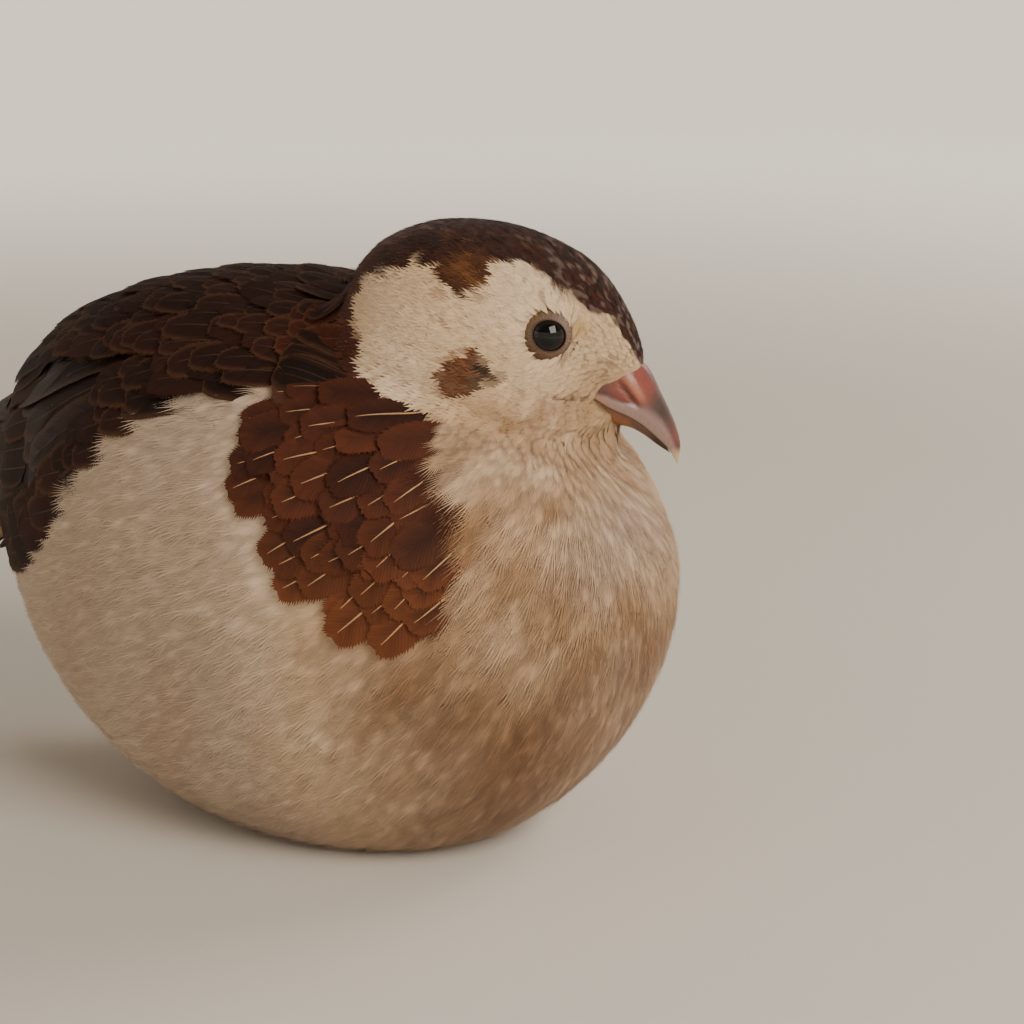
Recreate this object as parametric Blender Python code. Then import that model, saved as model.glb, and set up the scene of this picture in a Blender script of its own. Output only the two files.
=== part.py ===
"""Coturnix quail, piebald, sitting on its belly with the head drawn in and turned to its left.

The bird faces +X, its left side is +Y, and +Z is up. Lengths are in metres, and angles in degrees.
Each body form is a smooth closed surface given by a formula. The neck is set in a socket of the torso,
the head sits on the neck, and the wings lie in a shallow bed of the back. Feathers that name the bird,
those of the wings and the tail, are flat vanes in tiers, joined to the node that they grow from.
"""

import math

import bmesh
import bpy
import numpy as np
from mathutils import Matrix, Vector

MM = 0.001
GAP = 0.3 * MM

# The middle of the whole bird seen from above. The finished bird is moved so that it lies at the origin.
OUTLINE_MIDDLE = Vector((-20.133, 0.0, 0.0)) * MM

# The torso is an egg lying along X. Its widest level rises from the breast to the rump.
TORSO_FRONT = 46.0 * MM
TORSO_REAR = -66.0 * MM
TORSO_HALF_WIDTH = 37.0 * MM
BREAST_LEVEL = 38.0 * MM
RUMP_LEVEL = 44.0 * MM
BACK_RISE = 38.0 * MM
BELLY_DROP = 47.0 * MM
# Towards the breast the upper and lower contours fall off sooner than an ellipse does.
FRONT_FALL_ABOVE = 0.50
FRONT_FALL_BELOW = 0.22
TORSO_SQUARENESS = 2.15
TORSO_RINGS = 26
TORSO_SIDES = 36

# The wings lie in this bed of the back. Its lower edge drops towards the tail, under the flank feathers.
BED_DEPTH = 3.4 * MM
BED_FRONT = 16.0 * MM
BED_FADE = 9.0 * MM
WING_FRONT = 8.0 * MM
BED_TOP_ANGLE = 9.0
BED_LOW_ANGLE_FRONT = 48.0
BED_LOW_ANGLE_REAR = 92.0
BED_DROP_FROM = -13.0 * MM
BED_DROP_TO = -36.0 * MM
BED_EDGE_ANGLE = 7.0

# Behind this place the wings run on in straight lines over the rump, which closes under them.
WING_STRAIGHT_FROM = -40.0 * MM
WING_SIDE_SLOPE = 0.56
WING_TOP_SLOPE = 0.62
# Seed of the small unevenness that sets one feather of a tier apart from the next.
WING_SEED = 11
# Tiers of the folded wing, in mm back from the wing's front and round from the top of the back: how many vanes,
# the first and last root, their lengths, half width, height at root and tip, turn in degrees, and tilt.
WING_TIERS = (
    # The flight feathers' tips, the longest lowest, show behind the inner flight feathers.
    (4, (40.0, 38.0), (44.0, 29.0), (36.0, 42.0), 4.0, (-2.2, -1.6), (-10.0, -15.0), 0.45),
    # Secondaries, fanned from the wing's lower edge up to the back.
    (6, (20.0, 35.0), (24.0, 15.0), (30.0, 42.0), 4.4, (-2.2, -0.7), (14.0, 0.0), 0.50),
    # Tertials, long and broad, lie over the secondaries along the back.
    (3, (24.0, 20.0), (26.0, 10.0), (38.0, 42.0), 4.8, (-2.1, 0.3), (4.0, 0.0), 0.50),
    # Greater and median coverts, each tier over the roots of the one behind it.
    (6, (11.0, 34.0), (13.0, 13.0), (19.0, 22.0), 4.0, (-2.2, -0.5), (18.0, 4.0), 0.50),
    (6, (3.0, 32.0), (4.0, 13.0), (15.0, 16.0), 3.7, (-2.2, -0.3), (18.0, 6.0), 0.45),
    # Scapulars hang from the shoulder over the inner wing.
    (4, (2.0, 12.0), (17.0, 10.0), (18.0, 21.0), 4.2, (-2.1, 0.8), (10.0, 3.0), 0.40),
)
# The folded arm under them is a plate with its top and its underside this deep below the wing's surface.
WING_BASE_REAR = 46.0 * MM
WING_BASE_TOP = 2.3 * MM
WING_BASE_UNDER = 5.5 * MM
WING_BASE_INNER = 7.0 * MM

# The head, in its own axes: forward, left and up from the middle between the eyes.
HEAD_PLACE = Vector((26.9, 1.8, 74.8)) * MM
HEAD_TURN = 32.0
HEAD_FRONT = 15.0 * MM
HEAD_REAR = -28.0 * MM
HEAD_RISE = 15.6 * MM
HEAD_DROP = 15.5 * MM
HEAD_HALF_WIDTH = 13.0 * MM
HEAD_SQUARENESS = 2.1
HEAD_RINGS = 17
HEAD_SIDES = 24

# The drawn-in neck is a low mound between the shoulders, and the head rests in front of its top.
NECK_PLACE = Vector((5.0, 3.5, 65.0)) * MM
NECK_RADII = (19.0 * MM, 16.5 * MM, 16.5 * MM)
NECK_RINGS = 12
NECK_SIDES = 22

EYE_RADIUS = 3.6 * MM
EYE_PLACE = (0.4 * MM, 8.35 * MM, 0.3 * MM)
EYE_OUTWARD = (0.16, 1.0, 0.10)
LID_OPENING = 2.75 * MM
LID_THICKNESS = 0.55 * MM

# Bill sections in the head's middle plane: the ridge point, the cutting edge point and the half width, in mm.
UPPER_BILL = (
    ((12.4, -3.4), (6.3, -9.1), 3.4),
    ((14.9, -6.0), (9.1, -10.9), 3.1),
    ((16.4, -9.0), (11.9, -12.2), 2.8),
    ((17.7, -11.7), (13.9, -13.5), 2.35),
    ((18.7, -14.1), (15.9, -15.3), 1.75),
    ((19.3, -16.7), (17.7, -17.2), 0.95),
)
UPPER_BILL_TIP = (18.9, -19.4)
LOWER_BILL = (
    ((5.9, -9.7), (7.4, -12.3), 2.8),
    ((8.7, -11.3), (10.2, -13.6), 2.5),
    ((11.5, -12.7), (12.5, -14.5), 2.1),
    ((13.6, -14.1), (14.3, -15.4), 1.6),
    ((15.6, -15.9), (16.1, -16.8), 1.0),
)
LOWER_BILL_TIP = (17.1, -17.6)
NOSTRIL = ((12.4, -7.4), (13.6, -10.0))
MOUTH_CORNER = (6.8, -9.3)
MOUTH_LINE_END = (1.4, -8.2)

# A leg lies folded under the belly, pressed into its feathers, with its shank and toes on the floor.
HOCK = Vector((-31.0, -9.5, 2.1)) * MM
TOE_BASE = Vector((-6.0, -10.0, 1.9)) * MM
TOES = (
    ("inner", Vector((7.0, -6.6, 1.3)) * MM, 1.5 * MM),
    ("middle", Vector((11.5, -11.0, 1.4)) * MM, 1.6 * MM),
    ("outer", Vector((6.0, -15.4, 1.3)) * MM, 1.5 * MM),
    ("hind", Vector((-11.0, -5.6, 1.0)) * MM, 1.2 * MM),
)
CLAW_LENGTH = 3.4 * MM

TAIL_ROOT = Vector((-58.0, 0.0, 45.0)) * MM
TAIL_SLOPE = 34.0
# The tail's arch across it, as a drop for each square metre of the distance from its middle.
TAIL_ARCH = 0.018 / MM
# The tapered root: how far along the tail, half width and half height, in mm.
TAIL_ROOT_SECTIONS = ((-9.0, 8.5, 4.6), (4.0, 8.0, 4.2), (12.0, 6.5, 2.8), (19.0, 4.5, 1.2))
# Tiers of the tail, in mm: how many vanes, spread of the roots, start, length, half width, height at root and
# tip, and the fan in degrees. The tail feathers come first, then two rows of coverts over them and one under.
TAIL_TIERS = (
    (10, 5.0, 8.0, 26.0, 2.7, (0.0, -0.2), 20.0),
    (6, 5.5, 2.0, 20.0, 3.0, (2.0, 1.4), 18.0),
    (5, 5.0, -3.0, 15.0, 3.2, (3.2, 3.0), 16.0),
    (5, 5.0, 0.0, 19.0, 3.2, (-2.2, -1.8), 16.0),
)

SKIN_WHITE = (0.62, 0.55, 0.45)
CHESTNUT = (0.16, 0.055, 0.028)
DARK_BROWN = (0.075, 0.045, 0.032)
BILL_RED = (0.42, 0.16, 0.11)
EYE_BLACK = (0.012, 0.010, 0.012)
LEG_FLESH = (0.50, 0.33, 0.22)
CLAW_HORN = (0.16, 0.12, 0.09)


def clear_scene():
    for thing in list(bpy.data.objects):
        bpy.data.objects.remove(thing)


def material(name, colour, roughness):
    made = bpy.data.materials.new(name)
    made.use_nodes = True
    shader = made.node_tree.nodes["Principled BSDF"]
    shader.inputs["Base Color"].default_value = (*colour, 1.0)
    shader.inputs["Roughness"].default_value = roughness
    return made


def ease(share):
    """A smooth step from 0 to 1."""
    share = np.clip(share, 0.0, 1.0)
    return share * share * (3.0 - 2.0 * share)


def squared_ring(angle, squareness):
    """Across and up on a ring that is a little squarer than an ellipse; angle 0 is the top."""
    up, across = np.cos(angle), np.sin(angle)
    reach = (np.abs(up) ** squareness + np.abs(across) ** squareness) ** (-1.0 / squareness)
    return across * reach, up * reach


def torso_section(x):
    """Half width, rise above and drop below the widest level, and that level, at a place along X."""
    middle = 0.5 * (TORSO_FRONT + TORSO_REAR)
    half_length = 0.5 * (TORSO_FRONT - TORSO_REAR)
    along = np.clip((x - middle) / half_length, -1.0, 1.0)
    ring = np.sqrt(np.maximum(1.0 - along**2, 0.0))
    level = RUMP_LEVEL + (BREAST_LEVEL - RUMP_LEVEL) * 0.5 * (along + 1.0)
    width = TORSO_HALF_WIDTH * ring**0.86 * (1.0 + 0.14 * along - 0.10 * along**2)
    front = np.clip((along - 0.1) / 0.9, 0.0, 1.0)
    rise = BACK_RISE * ring ** (0.80 + FRONT_FALL_ABOVE * front) * (1.0 + 0.02 * along)
    drop = BELLY_DROP * ring ** (0.85 + FRONT_FALL_BELOW * front) * (1.0 + 0.02 * along)
    return width, rise, drop, level


def bed_low_angle(x):
    """The angle from the top of the back at which the flank feathers begin to cover the wing."""
    drop = ease((BED_DROP_FROM - x) / (BED_DROP_FROM - BED_DROP_TO))
    return BED_LOW_ANGLE_FRONT + (BED_LOW_ANGLE_REAR - BED_LOW_ANGLE_FRONT) * drop


def bed_share(x, angle):
    """1 in the bed that a wing lies in, 0 outside it, and smooth between."""
    side = np.degrees(np.abs(angle))
    inside = ease((side - BED_TOP_ANGLE) / BED_EDGE_ANGLE)
    inside = inside * ease((bed_low_angle(x) - side) / BED_EDGE_ANGLE)
    return inside * ease((BED_FRONT - x) / BED_FADE)


def torso_points(turn, angle):
    """Points of the torso: turn runs from the breast, 0, to the rump, pi, and angle round the body."""
    along = np.cos(turn)
    x = 0.5 * (TORSO_FRONT + TORSO_REAR) + 0.5 * (TORSO_FRONT - TORSO_REAR) * along + 0.0 * angle
    width, rise, drop, level = torso_section(x)
    across, up = squared_ring(angle, TORSO_SQUARENESS)
    bed = BED_DEPTH * bed_share(x, angle)
    y = np.maximum(width - bed, 0.0) * across
    z = level + np.where(up > 0.0, np.maximum(rise - bed, 0.0), drop) * up
    return np.stack(np.broadcast_arrays(x, y, np.maximum(z, 0.0)), -1)


def wing_support(x, angle):
    """The surface that the wing feathers follow: the full torso, run on in straight lines past the rump."""
    past = np.maximum(WING_STRAIGHT_FROM - x, 0.0)
    width, rise, _, level = torso_section(np.maximum(x, WING_STRAIGHT_FROM))
    width = width - WING_SIDE_SLOPE * past
    rise = rise - WING_TOP_SLOPE * past
    across, up = squared_ring(angle, TORSO_SQUARENESS)
    return np.stack(np.broadcast_arrays(x, width * across, level + rise * up), -1)


def wing_point(x, angle, height):
    """A point above the wing's surface, by the surface's own normal."""
    step = 0.2 * MM
    here = wing_support(x, angle)
    forward = wing_support(x + step, angle) - here
    around = wing_support(x, angle + 0.01) - here
    normal = np.cross(forward, around)
    normal = normal / np.linalg.norm(normal, axis=-1, keepdims=True)
    outward = here - np.stack([here[..., 0], 0.0 * here[..., 1], np.full_like(here[..., 2], 30.0 * MM)], -1)
    flip = np.sign(np.sum(normal * outward, -1, keepdims=True))
    return here + normal * flip * np.asarray(height)[..., None]


def head_points(turn, angle):
    """Points of the head in its own axes: the middle line drops towards the bill."""
    along = np.cos(turn)
    ring = np.sin(turn)
    forward = 0.5 * (HEAD_FRONT + HEAD_REAR) + 0.5 * (HEAD_FRONT - HEAD_REAR) * along + 0.0 * angle
    share = 0.5 * (along + 1.0)
    level = (1.9 - 5.0 * share - 5.6 * share**8) * MM
    rise = HEAD_RISE * ring**0.9
    drop = HEAD_DROP * ring**0.8
    width = HEAD_HALF_WIDTH * ring**1.1 * (1.0 - 0.28 * along)
    across, up = squared_ring(angle, HEAD_SQUARENESS)
    z = level + np.where(up > 0.0, rise, drop) * up
    return np.stack(np.broadcast_arrays(forward, width * across, z), -1)


def head_axes():
    return Matrix.Translation(HEAD_PLACE) @ Matrix.Rotation(math.radians(HEAD_TURN), 4, "Z")


def in_head(points):
    """Points from the head's axes to the bird's."""
    turned = np.array(head_axes())
    return np.asarray(points) @ turned[:3, :3].T + turned[:3, 3]


def new_object(name, verts, faces):
    """A mesh object of triangles that point outwards, so that a grown copy has the same folds."""
    mesh = bpy.data.meshes.new(name)
    mesh.from_pydata([tuple(map(float, v)) for v in verts], [], faces)
    shell = bmesh.new()
    shell.from_mesh(mesh)
    if shell.calc_volume(signed=True) < 0.0:
        bmesh.ops.reverse_faces(shell, faces=shell.faces)
    bmesh.ops.triangulate(shell, faces=shell.faces)
    shell.to_mesh(mesh)
    shell.free()
    made = bpy.data.objects.new(name, mesh)
    bpy.context.scene.collection.objects.link(made)
    return made


def ring_faces(rings, sides):
    """Quads between rings of vertices, numbered ring by ring."""
    faces = []
    for r in range(rings - 1):
        for s in range(sides):
            n = (s + 1) % sides
            faces.append((r * sides + s, r * sides + n, (r + 1) * sides + n, (r + 1) * sides + s))
    return faces


def lofted(name, rings, start=None, end=None):
    """A closed surface through rings of points; start and end close it at a point, or flat where None."""
    rings = np.asarray(rings)
    count, sides = rings.shape[:2]
    verts = list(rings.reshape(-1, 3))
    faces = ring_faces(count, sides)
    for ring, pole in ((0, start), (count - 1, end)):
        edge = [ring * sides + s for s in range(sides)]
        if pole is None:
            faces.append(tuple(edge if ring else edge[::-1]))
        else:
            verts.append(np.asarray(pole, float))
            top = len(verts) - 1
            for s in range(sides):
                pair = (edge[s], edge[(s + 1) % sides])
                faces.append((*pair, top) if ring else (*pair[::-1], top))
    return new_object(name, verts, faces)


def egg(name, points, rings, sides):
    """A closed form from a formula of turn and angle, with a pole at each end."""
    turns = np.linspace(0.0, np.pi, rings + 2)[:, None]
    angles = np.linspace(-np.pi, np.pi, sides, endpoint=False)[None, :]
    grid = points(turns, angles)
    return lofted(name, grid[1:-1], grid[0].mean(axis=0), grid[-1].mean(axis=0))


def grown(source, name, distance):
    """A copy of an object, moved outwards by a distance, for cutting its neighbours."""
    copy = source.copy()
    copy.data = source.data.copy()
    copy.name = name
    bpy.context.scene.collection.objects.link(copy)
    shell = bmesh.new()
    shell.from_mesh(copy.data)
    shell.normal_update()
    moves = [v.normal * distance for v in shell.verts]
    for vert, move in zip(shell.verts, moves):
        vert.co += move
    shell.to_mesh(copy.data)
    shell.free()
    return copy


def keep_largest(mesh):
    """Leaves only the largest closed surface of a mesh, as triangles."""
    shell = bmesh.new()
    shell.from_mesh(mesh)
    bmesh.ops.triangulate(shell, faces=shell.faces)
    shell.faces.ensure_lookup_table()
    unseen = set(shell.faces)
    parts = []
    while unseen:
        stack = [unseen.pop()]
        part = []
        while stack:
            face = stack.pop()
            part.append(face)
            for edge in face.edges:
                for other in edge.link_faces if len(edge.link_faces) == 2 else ():
                    if other in unseen:
                        unseen.remove(other)
                        stack.append(other)
        parts.append(part)

    def volume(part):
        total = 0.0
        for face in part:
            a, b, c = (v.co for v in face.verts)
            total += a.dot(b.cross(c))
        return total

    largest = max(parts, key=volume)
    scraps = [f for part in parts if part is not largest for f in part]
    bmesh.ops.delete(shell, geom=scraps, context="FACES")
    shell.to_mesh(mesh)
    shell.free()


def joined(target, others, operation):
    """Applies one Boolean of the other objects to the target, and removes them."""
    group = bpy.data.collections.new("pieces")
    bpy.context.scene.collection.children.link(group)
    for other in others:
        group.objects.link(other)
    step = target.modifiers.new("join", "BOOLEAN")
    step.operation = operation
    step.operand_type = "COLLECTION"
    step.collection = group
    step.solver = "MANIFOLD"
    graph = bpy.context.evaluated_depsgraph_get()
    mesh = bpy.data.meshes.new_from_object(target.evaluated_get(graph))
    target.modifiers.clear()
    target.data = mesh
    for other in others:
        bpy.data.objects.remove(other)
    bpy.data.collections.remove(group)
    keep_largest(target.data)
    return target


def fuse(target, others):
    return joined(target, others, "UNION")


def cut(target, others):
    for other in others:
        joined(target, [other], "DIFFERENCE")
    return target


def finish(thing, name, finish_material, sharp=40.0):
    thing.name = name
    thing.data.name = name
    thing.data.materials.clear()
    thing.data.materials.append(finish_material)
    thing.data.shade_smooth()
    thing.data.set_sharp_from_angle(angle=math.radians(sharp))
    return thing


def tube(name, centres, radii, sides=8, floor=None):
    """A tapered tube through centres, its ends rounded off, and flat where it would pass the floor."""
    centres = [Vector(c) for c in centres]
    rings = []
    for i, centre in enumerate(centres):
        ahead = centres[min(i + 1, len(centres) - 1)] - centres[max(i - 1, 0)]
        ahead.normalize()
        side = ahead.cross(Vector((0.0, 0.0, 1.0)))
        side.normalize()
        rise = side.cross(ahead)
        ring = []
        for s in range(sides):
            a = 2.0 * math.pi * (s + 0.5) / sides
            ring.append(centre + (side * math.cos(a) + rise * math.sin(a)) * radii[i])
        rings.append([tuple(p) for p in ring])
    first = centres[0] - (centres[1] - centres[0]).normalized() * radii[0] * 0.5
    last = centres[-1] + (centres[-1] - centres[-2]).normalized() * radii[-1] * 0.5
    rings = np.array(rings)
    ends = np.array([tuple(first), tuple(last)])
    if floor is not None:
        rings[..., 2] = np.maximum(rings[..., 2], floor)
        ends[:, 2] = np.maximum(ends[:, 2], floor)
    return lofted(name, rings, ends[0], ends[1])


# Shares along a vane, and the half width there as a share of the widest place.
VANE_STATIONS = (0.0, 0.38, 0.76, 0.94, 1.0)
VANE_WIDTHS = (0.62, 0.98, 0.96, 0.60, 0.14)
# A vane's section: across in half widths, and up in half thicknesses. The middle of the top is its shaft.
VANE_SECTION = ((-1.0, -1.0), (1.0, -1.0), (1.0, 1.0), (0.0, 1.5), (-1.0, 1.0))


def vane(name, place, root, tip, half_width, low, high, tilt=0.0, thickness=0.56 * MM):
    """A flat feather on a surface. place(along, across, height) maps it to space; root and tip are
    (along, across) pairs in metres on the surface, and the vane rises from low to high above it."""
    root, tip = np.array(root, float), np.array(tip, float)
    length = np.linalg.norm(tip - root)
    ahead = (tip - root) / length
    side = np.array([-ahead[1], ahead[0]])
    share = np.array(VANE_STATIONS)[:, None]
    width = half_width * np.array(VANE_WIDTHS)[:, None]
    across, up = np.array(VANE_SECTION).T[:, None, :]
    spots = root + ahead * length * share[..., None] + side * (across * width)[..., None]
    level = low + (high - low) * ease(share / 0.85) + tilt * across * np.minimum(1.0, width / half_width)
    level = level + up * 0.5 * thickness * (1.0 - 0.30 * share)
    return lofted(name, place(spots[..., 0], spots[..., 1], level))


def wing_place(side):
    """Maps mm back from the wing's front and mm round from the top of the back to the bird's right or left."""

    def place(back, around, height):
        x = WING_FRONT - back
        width, rise, _, _ = torso_section(np.maximum(x, WING_STRAIGHT_FROM))
        radius = 0.5 * (width + rise)
        return wing_point(x, side * around / radius, height)

    return place


def wing_tier(number):
    """The vanes of one tier: roots spread from first to last, each turned a little more than the one before."""
    count, first, last, lengths, half_width, (low, high), turns, tilt = WING_TIERS[number]
    first, last = np.array(first) * MM, np.array(last) * MM
    uneven = np.random.default_rng(WING_SEED + number)
    row = []
    for share in np.linspace(0.0, 1.0, count):
        root = first + (last - first) * share
        turn = math.radians(turns[0] + (turns[1] - turns[0]) * share + uneven.uniform(-1.2, 1.2))
        reach = (lengths[0] + (lengths[1] - lengths[0]) * share) * uneven.uniform(0.96, 1.04) * MM
        tip = root + np.array([math.cos(turn), math.sin(turn)]) * reach
        lift = uneven.uniform(-0.06, 0.06)
        row.append((root, tip, half_width * MM, (low + lift) * MM, (high + lift) * MM, tilt * MM))
    return row


def wing_base(name, side):
    """The folded arm: a plate in the bed, thin at its edges, for the vanes to grow from."""
    place = wing_place(side)
    back = np.linspace(-1.0 * MM, WING_BASE_REAR, 10)
    share = np.linspace(0.0, 1.0, 7)
    x = WING_FRONT - back
    low_angle = np.radians(bed_low_angle(x) - 1.0)
    width, rise, _, _ = torso_section(np.maximum(x, WING_STRAIGHT_FROM))
    radius = 0.5 * (width + rise)
    narrowing = 1.0 - 0.25 * ease((back - 26.0 * MM) / (20.0 * MM))
    outer = low_angle * radius * narrowing
    around = WING_BASE_INNER + (outer - WING_BASE_INNER)[:, None] * share[None, :]
    edge = np.minimum(ease(share / 0.2), ease((1.0 - share) / 0.2))[None, :]
    ends = np.minimum(ease((back + 1.0 * MM) / (6.0 * MM)), ease((WING_BASE_REAR - back) / (9.0 * MM)))[:, None]
    top = 0.6 * MM * edge * ends - WING_BASE_TOP
    rings = []
    for one_back, one_around, one_top in zip(back, around, top):
        upper = place(np.full(7, one_back), one_around, one_top)
        lower = place(np.full(7, one_back), one_around[::-1], np.full(7, -WING_BASE_UNDER))
        rings.append(np.concatenate([upper, lower]))
    return lofted(name, rings)


def wing(side, cutters, finish_material):
    """A folded wing: the base plate and its tiers in one solid, its underside fitted to the torso."""
    name = "wing_right" if side < 0 else "wing_left"
    place = wing_place(side)
    base = wing_base(name, side)
    rows = [row for number in range(len(WING_TIERS)) for row in wing_tier(number)]
    fuse(base, [vane(f"vane{i}", place, *row) for i, row in enumerate(rows)])
    cut(base, cutters)
    return finish(base, name, finish_material)


def tail_place(along, across, height):
    """Maps the tail's own length, width and height to a roof that slopes down and back from the rump."""
    slope = math.radians(TAIL_SLOPE)
    rise = height - TAIL_ARCH * across**2
    x = TAIL_ROOT.x - along * math.cos(slope) - rise * math.sin(slope)
    z = TAIL_ROOT.z - along * math.sin(slope) + rise * math.cos(slope)
    return np.stack(np.broadcast_arrays(x, across, z), -1)


def tail_tier(number):
    """The vanes of one tier of the tail: a fan whose outer feathers are a little shorter."""
    count, spread, start, length, half_width, (low, high), fan = TAIL_TIERS[number]
    row = []
    for share in np.linspace(-1.0, 1.0, count):
        turn = math.radians(fan * share)
        root = np.array([start, spread * share]) * MM
        tip = root + np.array([math.cos(turn), math.sin(turn)]) * length * (1.0 - 0.16 * share**2) * MM
        rise = 0.22 * (1.0 - abs(share))
        tilt = -0.12 * MM * np.sign(share)
        row.append((root, tip, half_width * MM, (low + rise) * MM, (high + rise) * MM, tilt))
    return row


def tail(torso_cutter, finish_material):
    """The short tail: a tapered root, ten tail feathers in a fan, and the coverts over and under them."""
    angles = np.linspace(0.0, 2.0 * np.pi, 14, endpoint=False)
    rings = []
    for along, half_width, half_height in TAIL_ROOT_SECTIONS:
        across, height = half_width * MM * np.sin(angles), half_height * MM * np.cos(angles)
        rings.append(tail_place(np.full(14, along * MM), across, height))
    root = lofted("tail", rings)
    rows = [row for number in range(len(TAIL_TIERS)) for row in tail_tier(number)]
    fuse(root, [vane(f"tail_vane{i}", tail_place, *row) for i, row in enumerate(rows)])
    cut(root, [torso_cutter])
    return finish(root, "tail", finish_material)


def bill_half(name, sections, tip, arch):
    """A bill half lofted through its sections; arch says whether its round side is up, 1, or down, -1."""
    rings = []
    sides = 12
    for (ridge_f, ridge_u), (edge_f, edge_u), half_width in sections:
        ridge, edge = np.array([ridge_f, ridge_u]), np.array([edge_f, edge_u])
        middle, axis = 0.5 * (ridge + edge), 0.5 * (ridge - edge)
        ring = []
        for s in range(sides):
            a = 2.0 * math.pi * s / sides
            up, across = math.cos(a), math.sin(a)
            flat = 2.6 if up * arch < 0.0 else 2.0
            reach = (abs(up) ** flat + abs(across) ** flat) ** (-1.0 / flat)
            spot = middle + axis * up * reach
            ring.append((spot[0] * MM, half_width * across * reach * MM, spot[1] * MM))
        rings.append(ring)
    end = np.array([tip[0] * MM, 0.0, tip[1] * MM])
    return lofted(name, in_head(np.array(rings)), None, in_head(end))


def ball(name, centre, radius, subdivisions=3):
    shell = bmesh.new()
    bmesh.ops.create_icosphere(shell, subdivisions=subdivisions, radius=radius)
    mesh = bpy.data.meshes.new(name)
    shell.to_mesh(mesh)
    shell.free()
    mesh.transform(Matrix.Translation(centre))
    made = bpy.data.objects.new(name, mesh)
    bpy.context.scene.collection.objects.link(made)
    return made


def eye_frame(side):
    """The eye's centre and its outward direction, in the bird's axes."""
    forward, out, up = EYE_PLACE
    centre = head_axes() @ Vector((forward, side * out, up))
    aim = head_axes().to_3x3() @ Vector((EYE_OUTWARD[0], side * EYE_OUTWARD[1], EYE_OUTWARD[2]))
    return centre, aim.normalized()


def lid_ring(name, side):
    """The rim of the eyelids: a ring round the opening, just outside the eyeball."""
    centre, aim = eye_frame(side)
    plane = centre + aim * math.sqrt(EYE_RADIUS**2 - (LID_OPENING - 0.5 * LID_THICKNESS) ** 2)
    first = aim.cross(Vector((0.0, 0.0, 1.0))).normalized()
    second = aim.cross(first)
    around, sides = 14, 5
    verts, faces = [], []
    for i in range(around):
        a = 2.0 * math.pi * i / around
        out = first * math.cos(a) + second * math.sin(a)
        for s in range(sides):
            b = 2.0 * math.pi * s / sides
            reach = LID_OPENING + LID_THICKNESS * math.cos(b)
            verts.append(plane + out * reach + aim * LID_THICKNESS * math.sin(b))
    for i in range(around):
        for s in range(sides):
            j, t = (i + 1) % around, (s + 1) % sides
            faces.append((i * sides + s, j * sides + s, j * sides + t, i * sides + t))
    return new_object(name, verts, faces)


def slit(name, start, end, out, depth, width):
    """A thin wedge for a nostril or the mouth's line, from start to end in the head's middle plane."""
    start, end = np.array(start) * MM, np.array(end) * MM
    ahead = (end - start) / np.linalg.norm(end - start)
    up = np.array([-ahead[1], ahead[0]])
    rings = []
    for share, size in ((0.0, 0.35), (0.35, 1.0), (0.75, 1.0), (1.0, 0.35)):
        spot = start + (end - start) * share
        ring = []
        for reach, rise in ((0.0, 0.15), (1.0, 1.0), (1.0, -1.0), (0.0, -0.15)):
            point = spot + up * rise * 0.5 * width * size
            ring.append((point[0], out * MM + math.copysign(depth, out) * (reach - 0.5), point[1]))
        rings.append(ring)
    return lofted(name, in_head(np.array(rings)))


def mirrored(vector, side):
    """A place on the bird's right, moved to the side asked for: -1 right, 1 left."""
    return Vector((vector.x, -side * vector.y, vector.z))


def toe_line(side, end, radius):
    base = mirrored(TOE_BASE, side)
    tip = mirrored(end, side)
    middle = base.lerp(tip, 0.5) + Vector((0.0, 0.0, 0.5 * MM))
    return [base, middle, tip], [1.15 * radius, radius, 0.8 * radius]


def leg(side, finish_material):
    """Shank and toes of one folded leg, in one solid."""
    name = "leg_right" if side < 0 else "leg_left"
    hock, base = mirrored(HOCK, side), mirrored(TOE_BASE, side)
    shank = tube(
        name,
        [hock, hock.lerp(base, 0.12), hock.lerp(base, 0.5), hock.lerp(base, 0.88), base],
        [2.3 * MM, 2.0 * MM, 1.8 * MM, 1.9 * MM, 2.2 * MM],
        sides=8,
        floor=0.0,
    )
    pieces = []
    for label, end, radius in TOES:
        centres, radii = toe_line(side, end, radius)
        pieces.append(tube(f"{name}_{label}", centres, radii, sides=6, floor=0.0))
    fuse(shank, pieces)
    return finish(shank, name, finish_material)


def claws(side, finish_material):
    """One claw on each toe, its root face to face with the toe's end."""
    made = []
    word = "right" if side < 0 else "left"
    for label, end, radius in TOES:
        base, tip = mirrored(TOE_BASE, side), mirrored(end, side)
        ahead = (tip - base).normalized()
        ahead.z = 0.0
        ahead.normalize()
        start = tip + ahead * (0.4 * radius + GAP)
        thick = 0.62 * radius
        length = CLAW_LENGTH * (0.7 if label == "hind" else 1.0)
        centres = [
            start + Vector((0.0, 0.0, 0.1 * MM)),
            start + ahead * 0.45 * length + Vector((0.0, 0.0, 0.05 * MM)),
            start + ahead * 0.85 * length - Vector((0.0, 0.0, 0.45 * MM)),
        ]
        claw = tube(f"claw_{word}_{label}", centres, [thick, 0.8 * thick, 0.42 * thick], sides=6, floor=0.0)
        made.append(finish(claw, f"claw_{word}_{label}", finish_material))
    return made


def neck_points(turn, angle):
    """The neck's mound: an ellipsoid."""
    x = NECK_PLACE.x + NECK_RADII[0] * np.cos(turn) + 0.0 * angle
    y = NECK_PLACE.y + NECK_RADII[1] * np.sin(turn) * np.sin(angle)
    z = NECK_PLACE.z + NECK_RADII[2] * np.sin(turn) * np.cos(angle)
    return np.stack(np.broadcast_arrays(x, y, z), -1)


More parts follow.
